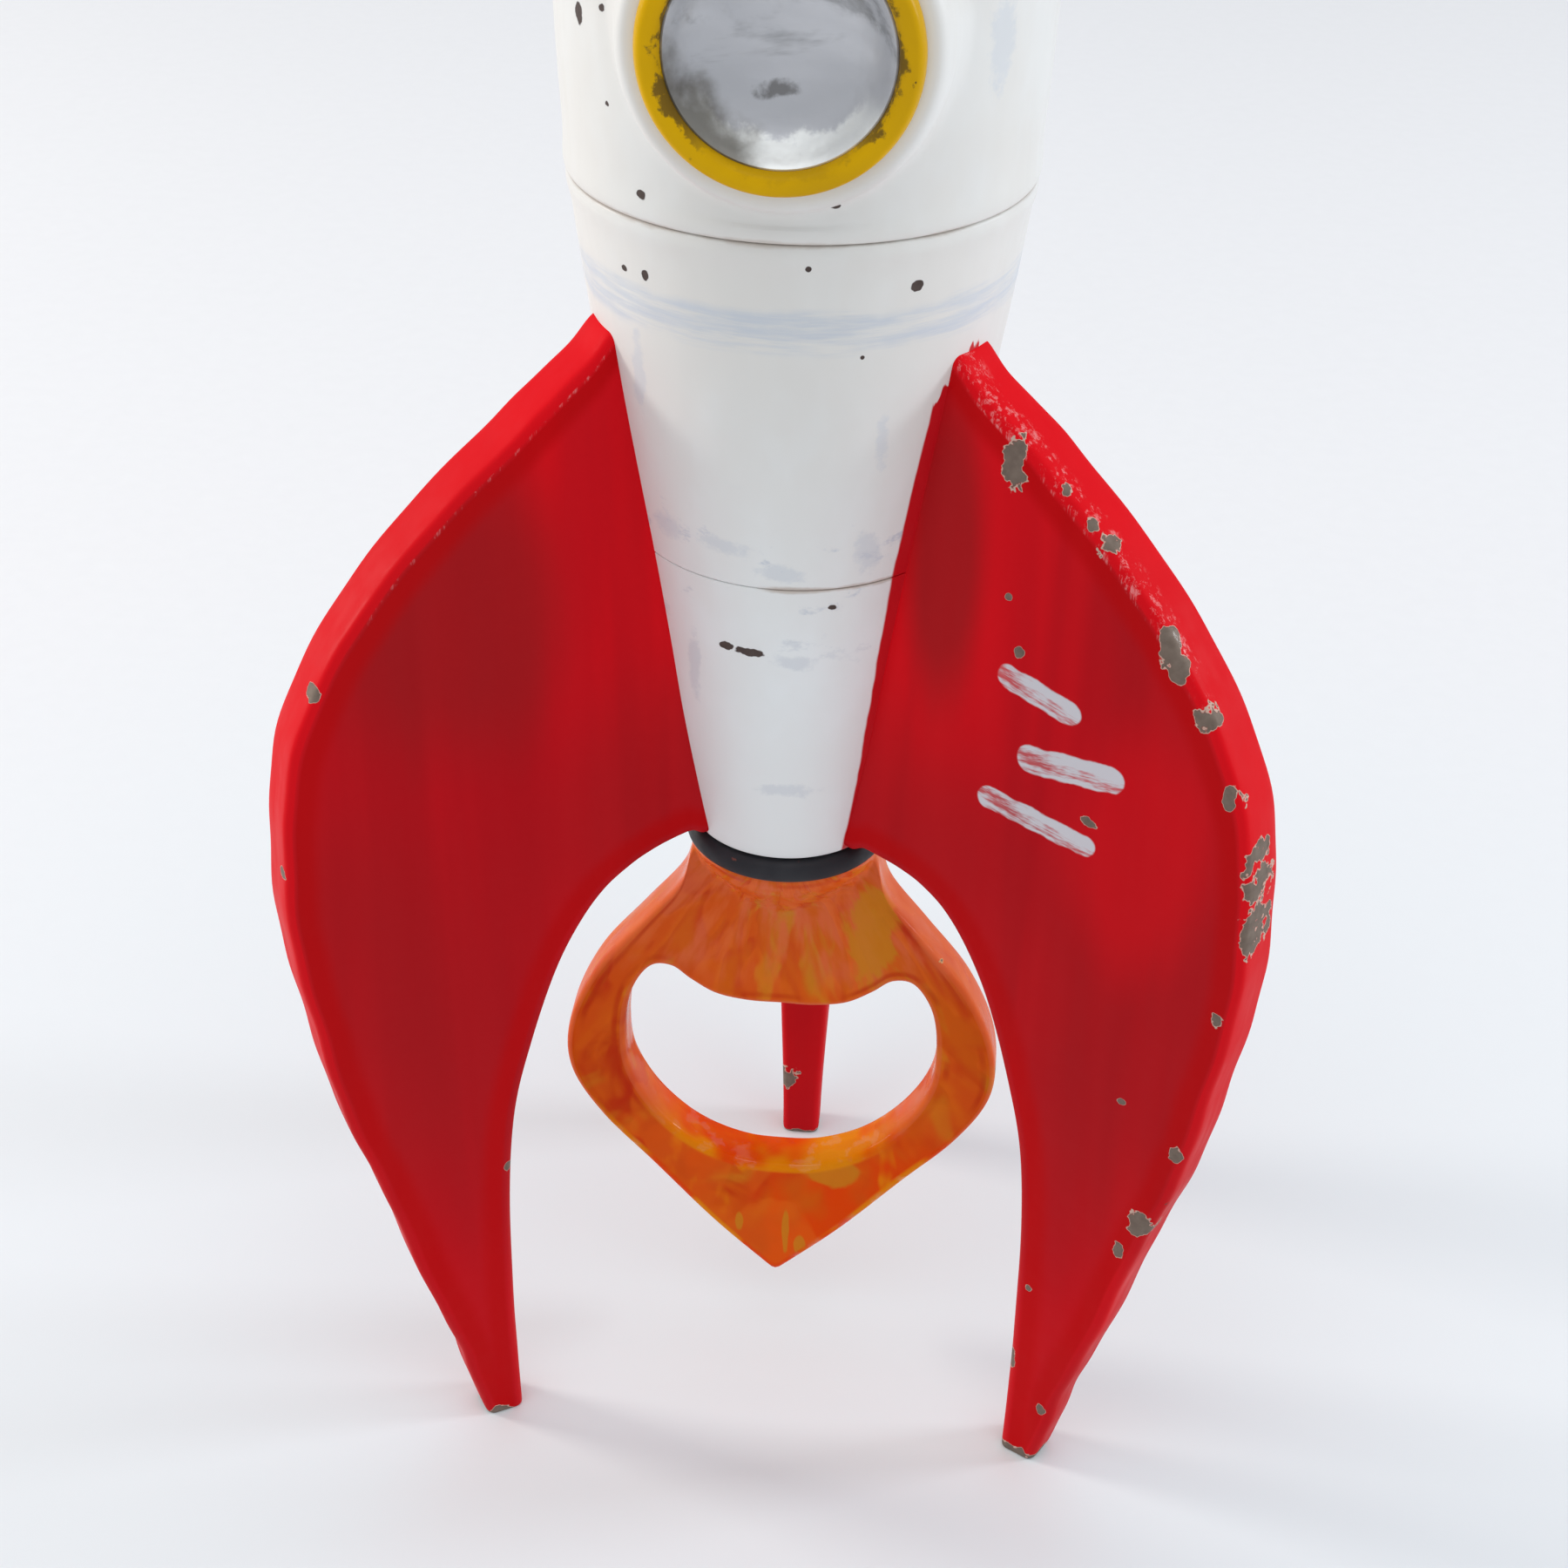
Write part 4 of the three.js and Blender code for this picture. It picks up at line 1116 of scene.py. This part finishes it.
def flame_heat(tree, colour, centred, low_down):
    """Hotter red and yellow towards the tip."""
    hot = spread(tree, centred, 90.0, (1, 1, 0.6), detail=3.0, turn=(0.5, 0.2, 0))
    hot = times(tree, low_down, fade(tree, hot, 0.42, 0.6, 0.15, 0.9))
    colour = mix(tree, hot, colour, FLAME_HOT)
    bright = spread(tree, centred, 150.0, (1, 1, 0.45), detail=3.0, warp=0.4)
    bright = times(tree, low_down, fade(tree, bright, 0.56, 0.68, 0.0, 0.85))
    return mix(tree, bright, colour, FLAME_YELLOW)


def flame_rims(tree, colour, centred, rim, low_down):
    """A deeper line beside the edges, walls with a painted salmon sheen above, and walls that are hot
    near the tip.
    """
    patchy = spread(tree, centred, 95.0, detail=2.0)
    line = times(tree, fade(tree, rim, 0.9, 1.2), fade(tree, rim, 2.0, 1.4),
                 fade(tree, low_down, 0.5, 0.0), fade(tree, patchy, 0.45, 0.6, 0.0, 0.6))
    colour = mix(tree, line, colour, FLAME_DEEP)
    # Painted highlight: the walls of the upper flame get a pale salmon sheen, as if they catch the
    # light.
    salmon = times(tree, fade(tree, rim, 0.9, 0.5), fade(tree, low_down, 0.8, 0.2), 0.45)
    colour = mix(tree, salmon, colour, FLAME_SALMON)
    wall = mix(tree, fade(tree, patchy, 0.42, 0.56), FLAME_HOT, FLAME_YELLOW)
    return mix(tree, times(tree, low_down, fade(tree, rim, 1.4, 0.8, 0.0, 0.8)), colour, wall)


def flame_paint(name):
    """Strokes that run into each other, fanning out from the neck, wet and hot near the tip."""
    paint, tree, vector = new_paint(name)
    centred = moved_to(tree, vector, AXIS)
    sides = split(tree, centred)
    rays = flame_rays(tree, sides)
    low_down = fade(tree, sides["Z"], *mm(*NEAR_TIP))
    rim = put(tree, "ShaderNodeAttribute", attribute_name="rim_mm").outputs["Fac"]
    brushed = place(tree, strokes, Vector=rays, Fineness=900.0)
    colour = flame_strokes(tree, centred, rays, sides["Z"])
    colour = flame_heat(tree, colour, centred, low_down)
    colour = mix(tree, fade(tree, brushed["Broad"], 0.4, 0.7, 0.0, 0.35), colour, FLAME_BRIGHT)
    ragged = swing(tree, rays, 420.0, 1.6)
    for spot in OCHRE_DAUBS:
        colour = daub(tree, colour, centred, spot, FLAME_OCHRE, ragged, 1.1, 0.8, 0.75)
    colour = flame_rims(tree, colour, centred, rim, low_down)
    gloss = fade(tree, brushed["Broad"], 0.2, 0.8, 0.16, 0.34)
    ripples = times(tree, spread(tree, centred, 160.0, detail=2.0), 5.0)
    bumps = plus(tree, times(tree, brushed["Height"], 1.1), ripples)
    wet_spots = fade(tree, spread(tree, centred, 420.0, detail=3.0), 0.54, 0.6)
    wet = times(tree, low_down, wet_spots, fade(tree, rim, 1.4, 0.6, 0.0, 0.8))
    worn_paint(tree, centred, colour, chip_level(tree, centred, FLAME_CHIPS), gloss, bumps,
               lip_colour=FLAME_LIP, shine=0.05, varnish=wet)
    return paint


flame_finish = flame_paint("flame_paint")

# %% The flame as a bent band
FLAME_HALF = 2.9
FLAME_CORNER = 0.8
NECK = [(66.0, 2.0), (68.0, 4.2), (70.3, 7.6), (73.2, 9.9), (75.0, 10.6)]
FLAME_RUNGS = [
    (0.0, 52.1, 0.0, 75.9), (3.8, 52.1, 4.6, 75.9), (7.6, 52.8, 8.7, 75.7), (10.6, 54.6, 10.5, 73.6),
    (13.0, 56.4, 11.9, 68.6), (15.6, 56.0, 16.4, 62.7), (17.8, 52.0, 21.8, 55.6),
    (18.5, 46.2, 25.2, 47.4), (17.9, 40.6, 25.3, 40.2), (15.0, 35.0, 21.6, 33.2),
    (10.4, 30.4, 15.4, 26.0), (5.0, 27.9, 7.8, 17.2), (0.0, 27.4, 0.0, 9.5),
]


def neck_radius(z):
    """Radius of the round neck at a height, and nothing below it."""
    for (z0, r0), (z1, r1) in zip(NECK, NECK[1:]):
        if z0 <= z <= z1:
            return r0 + (r1 - r0) * (z - z0) / (z1 - z0)
    return NECK[-1][1] if z > NECK[-1][0] else 0.0


def flame_half(x, z):
    """Half of the flame's thickness, where the plate and the round neck run together."""
    neck = math.sqrt(max(0.0, neck_radius(z) ** 2 - x * x))
    return (FLAME_HALF**3 + neck**3) ** (1 / 3)


def flame_rungs():
    """Rungs of the right half. The middle ones stay in the middle, so the halves can meet."""
    mirrored = (-FLAME_RUNGS[1][0], FLAME_RUNGS[1][1], -FLAME_RUNGS[1][2], FLAME_RUNGS[1][3])
    tip, side = FLAME_RUNGS[-1], FLAME_RUNGS[-2]
    below = (-side[0], side[1], -side[2], 2 * tip[3] - side[3])
    steps = 8
    line = smooth_line([mirrored, *FLAME_RUNGS, below], steps)
    return line[steps:-steps]


bm = bmesh.new()
bent_band(bm, flame_rungs(), band_section(12, 3), FLAME_CORNER, flame_half)
bmesh.ops.mirror(bm, geom=bm.verts[:] + bm.edges[:] + bm.faces[:], axis="X", merge_dist=0.02 * MM)
bmesh.ops.translate(bm, vec=AXIS, verts=bm.verts)
finish_piece(bm, "flame_opener_shape", flame_finish)

# %% [markdown]
# ## Collar, ring and dish
# Three small turned pieces finish the metalwork. The collar is a dark band between the tail and
# the flame. The porthole ring is a fat half round in yellow paint, and the dish inside it is
# hollow and brushed with silver. The ring and the dish turn about the porthole's own axis, which
# points to the front.

# %% Charcoal paint
CHARCOAL = (0.018, 0.0185, 0.023)
CHARCOAL_PALE = (0.03, 0.03, 0.035)
RED_SMEAR = (0.30, 0.08, 0.05)


def charcoal_paint(name):
    """A satin dark grey with a few red smears."""
    paint, tree, vector = new_paint(name)
    brushed = place(tree, strokes, Vector=vector, Fineness=500.0)
    colour = mix(tree, brushed["Broad"], CHARCOAL, CHARCOAL_PALE)
    smears = fade(tree, spread(tree, vector, 260.0, detail=4.0), 0.66, 0.72)
    colour = mix(tree, smears, colour, RED_SMEAR)
    gloss = fade(tree, brushed["Fine"], 0.3, 0.7, 0.42, 0.6)
    worn_paint(tree, vector, colour, NO_CHIP, gloss, brushed["Height"], shine=0.2)
    return paint


# %% Yellow paint, darker beside the dish
YELLOW = (0.70, 0.40, 0.002)
YELLOW_DARK = (0.42, 0.235, 0.008)
RING_INNER_DARK = (0.055, 0.035, 0.018)
RING_SPECK = (0.09, 0.055, 0.02)


def round_port(tree, vector):
    """Coordinates counted from the porthole's middle, and the distance out from its axis."""
    centred = moved_to(tree, vector, at(0, 0, PORT_Z))
    flat = stretched(tree, centred, (1, 0, 1))
    out = put(tree, "ShaderNodeVectorMath", {0: flat}, operation="LENGTH").outputs["Value"]
    return centred, out


def yellow_paint(name):
    """Yellow ochre with dark specks, and darker along the inner edge at both sides."""
    paint, tree, vector = new_paint(name)
    centred, out = round_port(tree, vector)
    brushed = place(tree, strokes, Vector=vector, Fineness=420.0)
    colour = mix(tree, times(tree, brushed["Broad"], 0.35), YELLOW, YELLOW_DARK)
    # Darker along the inner edge of the ring, at both sides, beside the dish.
    to_side = maths(tree, "ABSOLUTE", split(tree, centred)["X"])
    nibbled = plus(tree, out, swing(tree, centred, 460.0, 5.5 * MM, detail=4.0, rough=0.65))
    inner_edge_dark = times(tree, fade(tree, to_side, *mm(5, 9), 0.1, 0.85),
                  fade(tree, nibbled, *mm(10.9, 10.3)), 0.9)
    colour = mix(tree, inner_edge_dark, colour, RING_INNER_DARK)
    specks = place(tree, pits, Vector=vector, Density=260.0, Share=0.3, Size=0.2)
    colour = mix(tree, times(tree, specks["Pit"], 0.85), colour, RING_SPECK)
    gloss = fade(tree, brushed["Fine"], 0.3, 0.7, 0.28, 0.42)
    bumps = plus(tree, times(tree, brushed["Height"], 0.6), specks["Height"],
                 times(tree, spread(tree, vector, 220.0), 4.0))
    worn_paint(tree, vector, colour, NO_CHIP, gloss, bumps, shine=0.06)
    return paint


# %% Silver paint, rubbed dark in places
SILVER = (0.50, 0.51, 0.54)
SILVER_PALE = (0.62, 0.63, 0.66)
SILVER_PAINTED_HIGHLIGHT = (0.93, 0.95, 0.93)
SMUDGE = (0.17, 0.175, 0.18)
SCUFF = (0.10, 0.095, 0.09)
DIRT = (0.10, 0.085, 0.06)
SCUFF_SPOT = (mm(-0.3, -21, -4.0), mm(2.2, 9, 0.8))
DIRTY_SIDE = (-0.75, -0.66)


def silver_paint(name):
    """Silver brushed sideways, with a painted highlight below, and a scuff and dirt at the lower left.
    """
    paint, tree, vector = new_paint(name)
    centred, out = round_port(tree, vector)
    sides = split(tree, centred)
    sideways = stretched(tree, centred, (0.3, 1, 1))
    brushed = place(tree, strokes, Vector=sideways, Fineness=420.0)
    colour = mix(tree, brushed["Broad"], SILVER, SILVER_PALE)
    smudge = spread(tree, sideways, 150.0, detail=5.0, rough=0.65, warp=0.6)
    colour = mix(tree, times(tree, fade(tree, smudge, 0.54, 0.72), 0.6), colour, SMUDGE)
    # Painted highlight: a pale band on the lower rim of the hollow, where it catches the light.
    worn_out = plus(tree, out, swing(tree, centred, 300.0, 4.0 * MM, detail=4.0, rough=0.7))
    bright = times(tree, fade(tree, sides["Z"], *mm(-3, -6)), fade(tree, worn_out, *mm(7.6, 8.6)))
    colour = mix(tree, times(tree, bright, 0.8), colour, SILVER_PAINTED_HIGHLIGHT)
    ragged = swing(tree, centred, 520.0, 2.6, detail=4.0)
    colour = daub(tree, colour, centred, SCUFF_SPOT, SCUFF, ragged, 1.1, 0.4, 0.75)
    corner = plus(tree, times(tree, sides["X"], DIRTY_SIDE[0]), times(tree, sides["Z"], DIRTY_SIDE[1]),
                  swing(tree, centred, 240.0, 5 * MM, detail=4.0))
    colour = mix(tree, times(tree, fade(tree, corner, *mm(6.4, 9.0)), 0.8), colour, DIRT)
    gloss = fade(tree, brushed["Fine"], 0.3, 0.7, 0.3, 0.5)
    bumps = plus(tree, brushed["Height"], times(tree, spread(tree, centred, 210.0, detail=3.0), 3.0))
    bump = put(tree, "ShaderNodeBump", {"Height": bumps, "Strength": 0.5, "Distance": 0.15 * MM})
    shader = put(tree, "ShaderNodeBsdfPrincipled",
                 {"Base Color": colour, "Roughness": gloss, "Normal": bump.outputs[0],
                  "Metallic": 0.45})
    tree.links.new(shader.outputs[0], put(tree, "ShaderNodeOutputMaterial").inputs[0])
    return paint


# %% Turn a small piece, and the collar
SMALL_FACETS = 96


def turned_piece(name, outline, paint, at_port, closed=True):
    """A piece turned from (radius, height) points, standing up or facing the front."""
    bm = bmesh.new()
    if at_port:
        points = [at(radius, -out, PORT_Z) for radius, out in outline]
        spin_outline(bm, points, closed, SMALL_FACETS, at(0, 0, PORT_Z), (0, 1, 0))
    else:
        points = [at(radius, 0, z) for radius, z in outline]
        spin_outline(bm, points, closed, SMALL_FACETS)
    finish_piece(bm, name, paint)


COLLAR_BORE = 8.0
turned_piece(
    "collar_shape",
    [(COLLAR_BORE, COLLAR_LOW), (COLLAR_RADIUS - 0.9, COLLAR_LOW),
     (COLLAR_RADIUS - 0.25, COLLAR_LOW + 0.25), (COLLAR_RADIUS, COLLAR_LOW + 0.8),
     (COLLAR_RADIUS, COLLAR_HIGH - 1.0), (COLLAR_RADIUS - 0.3, COLLAR_HIGH - 0.35),
     (COLLAR_RADIUS - 1.0, COLLAR_HIGH), (COLLAR_BORE, COLLAR_HIGH + 0.2)],
    charcoal_paint("charcoal_paint"), at_port=False)

# %% The ring, a fat half round
RING_INNER = 10.1
RING_STEPS = 12
RING_FOOT = 0.2
RING_SUNK = 1.2
ring_half = (RING_RADIUS - RING_INNER) / 2
ring_middle = RING_RADIUS - ring_half
ring_rise = PORT_FRONT - BOSS_FACE - RING_FOOT
ring_outline = [(ring_middle + ring_half * 0.96, BOSS_FACE - RING_FOOT)]
for step in range(RING_STEPS + 1):
    angle = math.pi * step / RING_STEPS
    bulge = math.copysign(abs(math.cos(angle)) ** 0.7, math.cos(angle))
    ring_outline.append((ring_middle + ring_half * bulge,
                         BOSS_FACE + RING_FOOT + ring_rise * math.sin(angle) ** 0.8))
ring_outline.append((ring_middle - ring_half, BOSS_FACE - RING_SUNK))
ring_outline.append((ring_middle, BOSS_FACE - RING_SUNK))
turned_piece("porthole_ring_shape", ring_outline, yellow_paint("yellow_paint"),
             at_port=True)

# %% The dish, hollow in front
DISH_RADIUS = (dish_high.x - dish_low.x) / 2 / MM
DISH_HOLLOW = 10.0
DISH_DEPTH = 2.7
DISH_RISE = 1.2
DISH_STEPS = 16
DISH_CURVE = 4.2
dish_outline = [(0.0, BOSS_FACE - DISH_DEPTH)]
for step in range(1, DISH_STEPS + 1):
    share = step / DISH_STEPS
    out = BOSS_FACE - DISH_DEPTH + (DISH_DEPTH + DISH_RISE) * share**DISH_CURVE
    dish_outline.append((DISH_HOLLOW * share, out))
dish_outline += [(DISH_RADIUS, BOSS_FACE + DISH_RISE - 0.4), (DISH_RADIUS, BOSS_FACE - 2.6),
                 (6.0, BOSS_FACE - 3.5), (0.0, BOSS_FACE - 3.6)]
turned_piece("porthole_dish_shape", dish_outline, silver_paint("silver_paint"),
             at_port=True, closed=False)

# %% [markdown]
# ## The pieces nobody sees
# A tie rod, its nuts and washers, a bulkhead and the fin screws hold the castings together from
# inside. The frame's own shapes are right for these, so they stay, with a zinc or an iron finish.

# %% Zinc and iron for the inner pieces
ZINC = (0.62, 0.63, 0.65)
ZINC_DARK = (0.42, 0.43, 0.45)
RAW_IRON = (0.26, 0.25, 0.24)
RAW_IRON_DARK = (0.13, 0.12, 0.115)


def mottled_metal(name, pale, dark, low_gloss, high_gloss):
    """Bare metal with a mottled surface."""
    finish, tree, vector = new_paint(name)
    grains = spread(tree, vector, 700.0, detail=4.0)
    rough = fade(tree, grains, 0.3, 0.7, low_gloss, high_gloss)
    bump = put(tree, "ShaderNodeBump", {"Height": grains, "Strength": 0.3, "Distance": 0.05 * MM})
    shader = put(tree, "ShaderNodeBsdfPrincipled",
                 {"Base Color": mix(tree, grains, dark, pale), "Roughness": rough,
                  "Normal": bump.outputs[0], "Metallic": 1.0})
    tree.links.new(shader.outputs[0], put(tree, "ShaderNodeOutputMaterial").inputs[0])
    return finish


zinc = mottled_metal("zinc_steel", ZINC, ZINC_DARK, 0.28, 0.42)
iron = mottled_metal("raw_iron", RAW_IRON, RAW_IRON_DARK, 0.5, 0.7)
for name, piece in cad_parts.items():
    if piece.hide_render:
        continue
    piece.data.materials.clear()
    piece.data.materials.append(iron if name == "bulkhead" else zinc)
    print("inner piece", name)

# %% [markdown]
# ## Floor, light and camera
# The rocket stands on a plain pale floor. A soft lamp stands at each side, low and a little behind
# it, the left one warmer and the right one cooler, and a large soft panel hangs above. So the
# front is in soft shade, the edges are bright and each foot throws two faint shadows. Near the
# object the floor is painted a little cooler, against the red light that the fins throw on it. The
# camera looks down on the rocket from close by.

# %% The floor
PAPER = (0.83, 0.835, 0.85)
PAPER_SPECKLE = (0.80, 0.805, 0.82)
PAPER_AGAINST_RED_BOUNCE = (0.78, 0.835, 0.86)
FLOOR_HALF_M = 4.0
bm = bmesh.new()
bmesh.ops.create_grid(bm, x_segments=8, y_segments=8, size=FLOOR_HALF_M)
floor_mesh = bpy.data.meshes.new("floor")
bm.to_mesh(floor_mesh)
bm.free()
floor = bpy.data.objects.new("floor", floor_mesh)
bpy.context.scene.collection.objects.link(floor)
floor_finish, tree, vector = new_paint("floor_paint")
paper = mix(tree, spread(tree, vector, 260.0, detail=3.0), PAPER_SPECKLE, PAPER)
from_middle = put(tree, "ShaderNodeVectorMath", {0: vector}, operation="LENGTH").outputs["Value"]
# Painted correction of light: the floor is tinted cooler near the object, against the red light
# bounced from the fins.
against_red_bounce = fade(tree, from_middle, *mm(240, 60), 0.0, 0.85)
shader = put(tree, "ShaderNodeBsdfPrincipled",
             {"Base Color": mix(tree, against_red_bounce, paper, PAPER_AGAINST_RED_BOUNCE), "Roughness": 0.6})
tree.links.new(shader.outputs[0], put(tree, "ShaderNodeOutputMaterial").inputs[0])
floor_mesh.materials.append(floor_finish)

# %% The lights
WARM_LIGHT = (1.0, 0.94, 0.88)
COOL_LIGHT = (0.9, 0.94, 1.0)
PLAIN_LIGHT = (1.0, 1.0, 1.0)
ROOM_COLOUR = (0.93, 0.96, 1.0, 1.0)
ROOM_STRENGTH = 0.66


def soft_light(name, place_m, aim_m, size_m, watts, colour):
    """A square area light at a place, turned to aim at a point."""
    lamp = bpy.data.lights.new(name, "AREA")
    lamp.size = size_m
    lamp.energy = watts
    lamp.color = colour
    light = bpy.data.objects.new(name, lamp)
    bpy.context.scene.collection.objects.link(light)
    light.location = place_m
    light.rotation_euler = (Vector(aim_m) - Vector(place_m)).to_track_quat("-Z", "Y").to_euler()


soft_light("left_light", (-1.1, 0.2, 0.42), (0, 0, 0.05), 0.26, 6.2, WARM_LIGHT)
soft_light("right_light", (1.1, 0.2, 0.42), (0, 0, 0.05), 0.26, 4.6, COOL_LIGHT)
soft_light("top_light", (0.0, -0.3, 1.5), (0, 0, 0.1), 1.6, 7.6, PLAIN_LIGHT)
world = bpy.data.worlds.new("pale room")
world.use_nodes = True
world.node_tree.nodes["Background"].inputs["Color"].default_value = ROOM_COLOUR
world.node_tree.nodes["Background"].inputs["Strength"].default_value = ROOM_STRENGTH
bpy.context.scene.world = world
bpy.context.scene.view_settings.view_transform = "Standard"

# %% The camera
CAMERA_PLACE = (19.6, -240.7, 238.3)
CAMERA_TURN = 4.76
CAMERA_DOWN = 33.04
CAMERA_ROLL = 1.28
SENSOR_MM = 36.0
LENS_MM = 59.0
camera_data = bpy.data.cameras.new("camera")
camera_data.sensor_width = SENSOR_MM
camera_data.lens = LENS_MM
camera_data.clip_start = 0.01
camera = bpy.data.objects.new("camera", camera_data)
bpy.context.scene.collection.objects.link(camera)
looking = (Matrix.Rotation(math.radians(CAMERA_TURN), 4, "Z")
           @ Matrix.Rotation(math.radians(90 - CAMERA_DOWN), 4, "X")
           @ Matrix.Rotation(math.radians(CAMERA_ROLL), 4, "Z"))
camera.matrix_world = Matrix.Translation(at(*CAMERA_PLACE)) @ looking
bpy.context.scene.camera = camera
print("camera at", [round(value, 3) for value in camera.location])

# %% [markdown]
# ## The frame's size
# The frame's box is printed in millimetres: its lowest corner, then its highest.

# %% Print the frame's box
print("frame", [round(v / MM, 2) for v in (*cad_low, *cad_high)])
